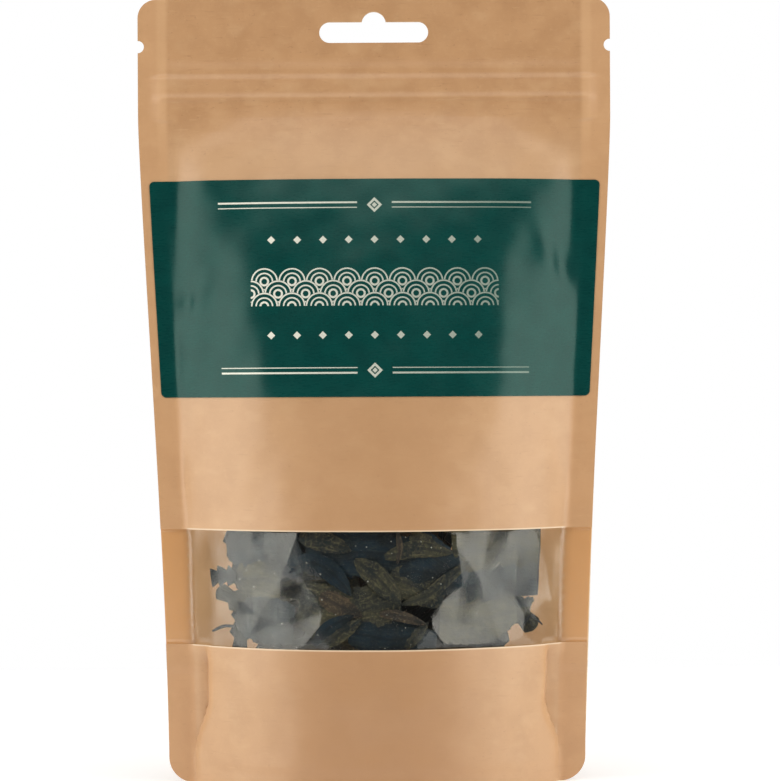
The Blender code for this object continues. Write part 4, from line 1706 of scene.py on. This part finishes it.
@dataclass
class WrackFill:
    """The dried pieces: the model's own blades, made finer, wrinkled and dressed."""

    nodes: dict
    sharp: float = math.radians(48)
    crease: float = 0.85
    levels: int = 2
    wrinkle: float = 0.16 * MM
    wrinkle_wave: float = 2.6 * MM
    weld: float = 0.01 * MM
    order: tuple[int, ...] = (0, 1, 0, 0, 1, 0, 2, 1)
    finishes: dict[Tone, bpy.types.Material] = field(default_factory=dict)

    def finer(self, node: bpy.types.Object, number: int) -> bpy.types.Object:
        """A blade's own copy, merged, subdivided and wrinkled.

        Args:
            node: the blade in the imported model.
            number: which blade it is.

        Returns:
            The finer piece.
        """
        piece = bpy.data.objects.new(f"dried_{node.name}", node.data.copy())
        bpy.context.scene.collection.objects.link(piece)
        piece.data.name = piece.name
        Bench.alone(piece)
        bpy.ops.mesh.customdata_custom_splitnormals_clear()
        bpy.ops.object.mode_set(mode="EDIT")
        bpy.ops.mesh.select_all(action="SELECT")
        bpy.ops.mesh.remove_doubles(threshold=self.weld)
        bpy.ops.object.mode_set(mode="OBJECT")
        self.sharpen(piece)
        Bench.apply(piece, "SUBSURF", levels=self.levels, render_levels=self.levels)
        self.wrinkled(piece, number)
        self.map_along(piece)
        Bench.smooth(piece, 50)
        return piece

    def sharpen(self, piece: bpy.types.Object) -> None:
        """Keeps the blade's rim and teeth crisp when it is subdivided.

        Args:
            piece: the blade.
        """
        cage = bmesh.new()
        cage.from_mesh(piece.data)
        layer = cage.edges.layers.float.get("crease_edge") or cage.edges.layers.float.new("crease_edge")
        for edge in cage.edges:
            if len(edge.link_faces) == 2 and edge.calc_face_angle() > self.sharp:
                edge[layer] = self.crease
        cage.to_mesh(piece.data)
        cage.free()

    def wrinkled(self, piece: bpy.types.Object, number: int) -> None:
        """Wrinkles a blade's surface with noise.

        Args:
            piece: the blade.
            number: which blade it is.
        """
        places = Bench.corners(piece)
        normals = np.array([vert.normal for vert in piece.data.vertices])
        shift = Vector((number * 7.3, 0.0, 0.0))
        amounts = [noise.noise(Vector(place) / self.wrinkle_wave + shift) - 0.5 for place in places]
        Bench.move_corners(piece, places + normals * self.wrinkle * np.array(amounts)[:, None])

    @staticmethod
    def map_along(piece: bpy.types.Object) -> None:
        """Gives a blade a UV map that runs along its length and across it.

        Args:
            piece: the blade.
        """
        places = Bench.corners(piece)
        centred = places - places.mean(axis=0)
        _, _, axes = np.linalg.svd(centred, full_matrices=False)
        Bench.map_flat(piece, centred @ axes[:2].T, "along")

    def build(self) -> None:
        """Makes every blade."""
        tones = {
            Tone.BLUE: ((3, 29, 44), (1, 12, 22), (42, 54, 50)),
            Tone.OLIVE: ((54, 54, 42), (16, 26, 30), (110, 102, 74)),
            Tone.BROWN: ((62, 54, 44), (28, 30, 30), (118, 98, 76)),
        }
        for tone, colours in tones.items():
            finish = WrackFinish(f"dried_wrack_{tone.name.lower()}", *colours, seed=tone.value + 1.0)
            self.finishes[tone] = finish.build()
        names = sorted(name for name in self.nodes if name.startswith("wrack_blade_"))
        for number, name in enumerate(names):
            piece = self.finer(self.nodes[name], number)
            piece.data.materials.clear()
            piece.data.materials.append(self.finishes[Tone(self.order[number % len(self.order)])])
            for polygon in piece.data.polygons:
                polygon.material_index = 0
            Bench.settle(piece, "dried_wrack", name)


@dataclass(frozen=True)
class Frond:
    """A loose frond that lies flat between the pile and the film.

    Attributes:
        route: its midrib on the flat front, across and up, in millimetres.
        half: its half-width in millimetres.
        depth: how far its midrib lies behind the middle layer, in millimetres.
        tone: its colour.
        teeth: the height of its saw teeth, as a share of its half-width.
        keel: how far its midrib stands out before its edges, in millimetres.
        blunt: how blunt its two ends are, from 0 for a point to 1 for square.
    """

    route: tuple[Point, ...]
    half: float
    depth: float
    tone: Tone
    teeth: float = 0.0
    keel: float = 0.35
    blunt: tuple[float, float] = (0.3, 0.0)


# The fronds that show in the window, the deepest first.
FRONDS = (
    Frond(((-30, 70), (-39, 70.5), (-48, 69)), 5.6, 2.0, Tone.BLUE, 0.14, blunt=(0.8, 0.5)),
    Frond(((-29, 60), (-39, 61), (-46, 60.5)), 5.0, 1.95, Tone.OLIVE, 0.16, blunt=(0.8, 0.0)),
    Frond(((-25, 48), (-35, 49), (-45, 50)), 6.4, 2.05, Tone.BLUE, 0.14, blunt=(0.8, 0.4)),
    Frond(((23, 69), (37, 69), (53.6, 69)), 7.0, 2.05, Tone.OLIVE, 0.0, blunt=(0.8, 0.95)),
    Frond(((27, 58), (41, 60), (53.6, 60)), 5.0, 1.95, Tone.BLUE, 0.0, blunt=(0.8, 0.95)),
    Frond(((19, 49), (31, 49), (45, 51)), 6.6, 2.05, Tone.OLIVE, 0.13, blunt=(0.8, 0.4)),
    Frond(((-23, 55), (-9, 52), (7, 55)), 6.5, 2.05, Tone.OLIVE, 0.12, blunt=(0.8, 0.6)),
    Frond(((-21, 68), (-5, 69), (11, 68)), 6.5, 2.05, Tone.BLUE, 0.12, blunt=(0.8, 0.6)),
    Frond(((-31, 76), (-28.4, 69.4), (-26, 61)), 5.4, 1.95, Tone.BLUE, 0.1, blunt=(0.7, 0.7)),
    Frond(((10, 74), (17, 67.5), (26, 62)), 5.0, 1.9, Tone.BLUE, 0.1, blunt=(0.7, 0.5)),
    Frond(((4, 62), (11.5, 59.2), (20, 55)), 4.6, 1.9, Tone.OLIVE, 0.1, blunt=(0.6, 0.5)),
    Frond(((-8, 46), (4, 44), (18, 43)), 5.0, 2.1, Tone.BLUE, 0.1, blunt=(0.6, 0.5)),
    Frond(((6.9, 62.6), (12, 63.4), (18, 62.6)), 3.2, 1.7, Tone.BLUE, 0.1),
    Frond(((-4.6, 72.7), (1.2, 72.7), (6.5, 70.5)), 3.0, 1.6, Tone.BLUE, 0.1),
    Frond(((-22.9, 73.2), (-15.7, 72.2), (-7.4, 69.4)), 2.8, 1.5, Tone.OLIVE, 0.16),
    Frond(((-16.7, 56.6), (-12.4, 54.5), (-4, 50.6)), 2.7, 1.55, Tone.BROWN, 0.2),
    Frond(((10.2, 74.0), (14, 71.6), (19.5, 68.0)), 2.5, 1.45, Tone.OLIVE, 0.2),
    Frond(((-1, 44.9), (6.1, 43.8), (13.8, 46.2)), 3.3, 1.5, Tone.BLUE, 0.12),
    Frond(((19, 57.2), (24.2, 60.3), (30, 61.9)), 2.3, 1.5, Tone.BLUE, 0.2),
    Frond(((-25.8, 63.1), (-21, 65.9), (-15.7, 65.0), (-10.9, 61.1), (-7.4, 56.6)), 2.9, 1.1, Tone.BLUE, 0.1),
    Frond(((-15.2, 42.0), (-10.4, 45.9), (-4.5, 49.4)), 2.2, 1.1, Tone.OLIVE, 0.14),
    Frond(((-18.5, 42.3), (-14.2, 47.2), (-6.5, 51.0)), 2.0, 0.95, Tone.BLUE, 0.0, 0.2),
    Frond(((2.6, 67.6), (11.8, 69.9), (23, 68.6)), 2.4, 1.0, Tone.OLIVE, 0.08, 0.2),
    Frond(((6.4, 75.0), (6.9, 70.5), (6.2, 65.6)), 0.9, 0.85, Tone.BROWN, 0.0, 0.2),
    Frond(((-6.2, 67.0), (0.6, 61.6), (7.2, 54.0)), 3.3, 0.95, Tone.OLIVE, 0.08, 0.5, (0.1, 0.0)),
    Frond(((28, 66.0), (21, 61.0), (14.6, 56.2), (7.5, 54.0)), 1.9, 0.85, Tone.OLIVE, 0.0, 0.45, (0.0, 0.1)),
    Frond(((1, 51.4), (6.9, 50.7), (14.6, 48.2)), 1.5, 0.85, Tone.BROWN, 0.1, 0.3),
    Frond(((8.6, 41.4), (11.6, 44.6), (15.4, 48.8)), 1.5, 1.2, Tone.OLIVE, 0.12),
    Frond(((-44, 61.4), (-49, 61.6), (-53.8, 60.8)), 1.5, 1.2, Tone.BLUE, 1.15, 0.1, (0.9, 0.9)),
    Frond(((-44.6, 47.0), (-49, 46.8), (-53.6, 45.2)), 0.45, 0.8, Tone.BLUE, 0.0, 0.1, (0.8, 0.4)),
    Frond(((44, 54.6), (47.6, 53.2), (51.4, 54.2)), 1.0, 1.5, Tone.BLUE, 0.9, 0.1, (0.8, 0.5)),
    Frond(((46.4, 46.4), (50, 49.4), (54.4, 46.6)), 0.4, 0.9, Tone.BLUE, 0.0, 0.1, (0.8, 0.2)),
)


@dataclass
class LooseFronds:
    """The fronds that lie against the window, in front of the pile."""

    form: PouchForm
    relief: FrontRelief
    finishes: dict[Tone, bpy.types.Material]
    step: float = 0.45 * MM
    rows: int = 10
    thickness: float = 0.3 * MM
    tooth_pitch: float = 3.4 * MM
    wrinkle: float = 0.14 * MM
    wrinkle_wave: float = 1.7 * MM

    @staticmethod
    def along(route: Sequence[Point], share: Array) -> Array:
        """Points of a smooth curve through a route, as share goes from 0 to 1.

        Args:
            route: the route's points, in millimetres.
            share: how far along the route each point is.

        Returns:
            The points, in metres, one row each.
        """
        points = np.array(route, dtype=float) * MM
        padded = np.vstack((2 * points[0] - points[1], points, 2 * points[-1] - points[-2]))
        place = np.clip(share, 0.0, 1.0 - 1e-9) * (len(points) - 1)
        part = place.astype(int)
        rest = (place - part)[:, None]
        before, start, end, after = (padded[part + step] for step in range(4))
        line = (end - before) * rest + (2 * before - 5 * start + 4 * end - after) * rest**2
        return start + (line + (3 * start - before - 3 * end + after) * rest**3) / 2

    def outline(self, frond: Frond, share: Array, length: float) -> Array:
        """A frond's half-width along it, as a share of its widest.

        Args:
            frond: the frond.
            share: how far along the frond each place is, from 0 to 1.
            length: the frond's length.

        Returns:
            The half-width at each place.
        """
        from_middle = 2 * share - 1
        blunt = np.where(from_middle < 0, frond.blunt[0], frond.blunt[1])
        pointed = np.clip(1 - np.abs(from_middle) ** 2.2, 0.0, 1.0) ** 0.85
        teeth = 1 + frond.teeth * ((share * length / self.tooth_pitch) % 1.0)
        return np.maximum(blend(pointed, 1.0, blunt), 0.02) * teeth

    def make(self, frond: Frond, number: int) -> None:
        """Makes one frond from a grid that is drawn out along its route.

        Args:
            frond: the frond.
            number: which frond it is.
        """
        route = self.along(frond.route, np.linspace(0, 1, 60))
        length = float(np.linalg.norm(np.diff(route, axis=0), axis=1).sum())
        steps = max(16, round(length / self.step))
        piece = Bench.grid(f"loose_frond_{number:02d}", steps, self.rows)
        grid = Bench.corners(piece)
        share = (grid[:, 0] + 1) / 2
        side = grid[:, 1]
        middle = self.along(frond.route, share)
        run = self.along(frond.route, share + 0.01) - self.along(frond.route, share - 0.01)
        run /= np.maximum(np.linalg.norm(run, axis=1), 1e-9)[:, None]
        wide = frond.half * MM * self.outline(frond, share, length)
        flat = middle + np.stack((-run[:, 1], run[:, 0]), axis=-1) * (side * wide)[:, None]
        keel = frond.keel * MM * (1 - np.abs(side))
        wave = 0.12 * MM * np.sin(share * length / (1.6 * MM) + number) * side
        crumple = [noise.noise(Vector((*(point / self.wrinkle_wave), number * 3.1))) for point in flat]
        offset = keel + wave + self.wrinkle * np.array(crumple) - frond.depth * MM
        offset += self.relief.at(flat[:, 0], flat[:, 1])
        Bench.map_flat(piece, np.stack((share * length, side * wide), axis=-1), "along")
        Bench.move_corners(piece, self.form.lay(Side.FRONT, flat[:, 0], flat[:, 1], offset))
        Bench.apply(piece, "SOLIDIFY", thickness=self.thickness, offset=0.0)
        Bench.smooth(piece, 50)
        piece.data.materials.append(self.finishes[frond.tone])
        Bench.settle(piece, "dried_wrack")

    def build(self) -> None:
        """Makes every frond."""
        for number, frond in enumerate(FRONDS, 1):
            self.make(frond, number)


@dataclass(frozen=True)
class Softbox:
    """A soft light.

    Attributes:
        name: what it is.
        place: where it stands.
        aim: the point that it faces.
        width: across.
        height: up.
        radiance: how bright its face is.
        mirrored: whether glossy surfaces mirror it.
        tint: its light's colour.
    """

    name: str
    place: tuple[float, float, float]
    aim: tuple[float, float, float]
    width: float
    height: float
    radiance: float
    mirrored: bool = True
    tint: tuple[float, float, float] = (1.0, 0.97, 0.91)

    def build(self) -> None:
        """Adds the light; an area light's power is its radiance times its area and pi."""
        light = bpy.data.lights.new(self.name, "AREA")
        light.shape = "RECTANGLE"
        light.size = self.width
        light.size_y = self.height
        light.color = self.tint
        light.energy = self.radiance * self.width * self.height * math.pi
        lamp = bpy.data.objects.new(self.name, light)
        direction = Vector(self.aim) - Vector(self.place)
        turned = direction.to_track_quat("-Z", "Y").to_matrix().to_4x4()
        lamp.matrix_world = Matrix.Translation(self.place) @ turned
        lamp.visible_camera = False
        lamp.visible_glossy = self.mirrored
        bpy.context.scene.collection.objects.link(lamp)


@dataclass
class Studio:
    """The floor, the light and the camera.

    The camera stands level, half-way up the pouch, a little to its right, as for the photograph.
    """

    distance: float = 0.87
    eye_height: float = 115.8 * MM
    eye_right: float = 4.3 * MM
    roll: float = math.radians(0.29)
    frame_width: int = 780
    scale: float = 0.2966 * MM
    sensor: float = 36.0
    floor_size: float = 0.7
    world_light: float = 0.07
    lights: tuple[Softbox, ...] = (
        Softbox("left_softbox", (-0.887, -0.462, 0.6), (0.0, 0.0, 0.6), 0.65, 1.5, 2.78),
        Softbox("right_softbox", (0.887, -0.462, 0.6), (0.0, 0.0, 0.6), 0.65, 1.5, 2.78),
        Softbox("left_fill", (-0.999, 0.044, 0.6), (0.0, 0.0, 0.6), 0.45, 1.5, 2.72, mirrored=False),
        Softbox("right_fill", (0.999, 0.044, 0.6), (0.0, 0.0, 0.6), 0.45, 1.5, 2.72, mirrored=False),
        Softbox("top_softbox", (0.0, -0.7, 0.85), (0.0, 0.0, 0.12), 1.2, 0.5, 2.0),
        Softbox("back_softbox", (0.0, 0.9, 0.9), (0.0, 0.0, 0.1), 1.2, 0.5, 3.0),
    )

    def add_floor(self) -> None:
        """A pale floor under the pouch."""
        Bench.clear()
        bpy.ops.mesh.primitive_plane_add(size=self.floor_size)
        floor = bpy.context.object
        floor.name = "floor"
        floor.data.materials.append(FloorFinish().build())

    def add_camera(self) -> None:
        """The camera, with the lens that gives the photograph's scale at the seam plane."""
        camera = bpy.data.cameras.new("camera")
        camera.sensor_fit = "HORIZONTAL"
        camera.sensor_width = self.sensor
        pixels = self.distance / self.scale
        camera.lens = pixels * self.sensor / self.frame_width
        eye = bpy.data.objects.new("camera", camera)
        eye.location = (self.eye_right, -self.distance, self.eye_height)
        eye.rotation_euler = (math.pi / 2, self.roll, 0.0)
        bpy.context.scene.collection.objects.link(eye)
        bpy.context.scene.camera = eye

    def add_world(self) -> None:
        """A dim even room light, which the camera sees as a white background."""
        graph = Graph(bpy.data.worlds.new("studio"))
        inputs = ({"Color": WHITE, "Strength": strength} for strength in (self.world_light, 1.0))
        dim, white = (graph.node("ShaderNodeBackground", {}, one) for one in inputs)
        seen = Signal(graph, graph.node("ShaderNodeLightPath").outputs["Is Camera Ray"])
        bpy.context.scene.world = graph.finish(graph.mix_shaders(seen, dim, white))

    def build(self) -> None:
        """Sets up the studio."""
        self.add_floor()
        self.add_camera()
        self.add_world()
        for light in self.lights:
            light.build()
        view = bpy.context.scene.view_settings
        view.view_transform = "Standard"
        view.look = "None"
        view.exposure = 0.0
        view.gamma = 1.0
        log.info("studio: %d lights", len(self.lights))


def main() -> None:
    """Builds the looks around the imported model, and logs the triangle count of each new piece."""
    logging.basicConfig(level=logging.INFO, format="%(name)s: %(message)s")
    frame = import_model()
    form = PouchForm()
    front = FrontRelief(form)
    wrack = WrackFill(frame["nodes"])
    wrack.build()
    LooseFronds(form, front, wrack.finishes).build()
    Studio().build()
    walls = PaperWalls(form, front, BackRelief(form), Cutters(form))
    walls.build()
    WindowFilm(form, front).build()
    PrintedLabel(walls).build()
    BottomGusset(form).build()
    PressedZip(frame["nodes"]).build()


if __name__ == "__main__":
    main()
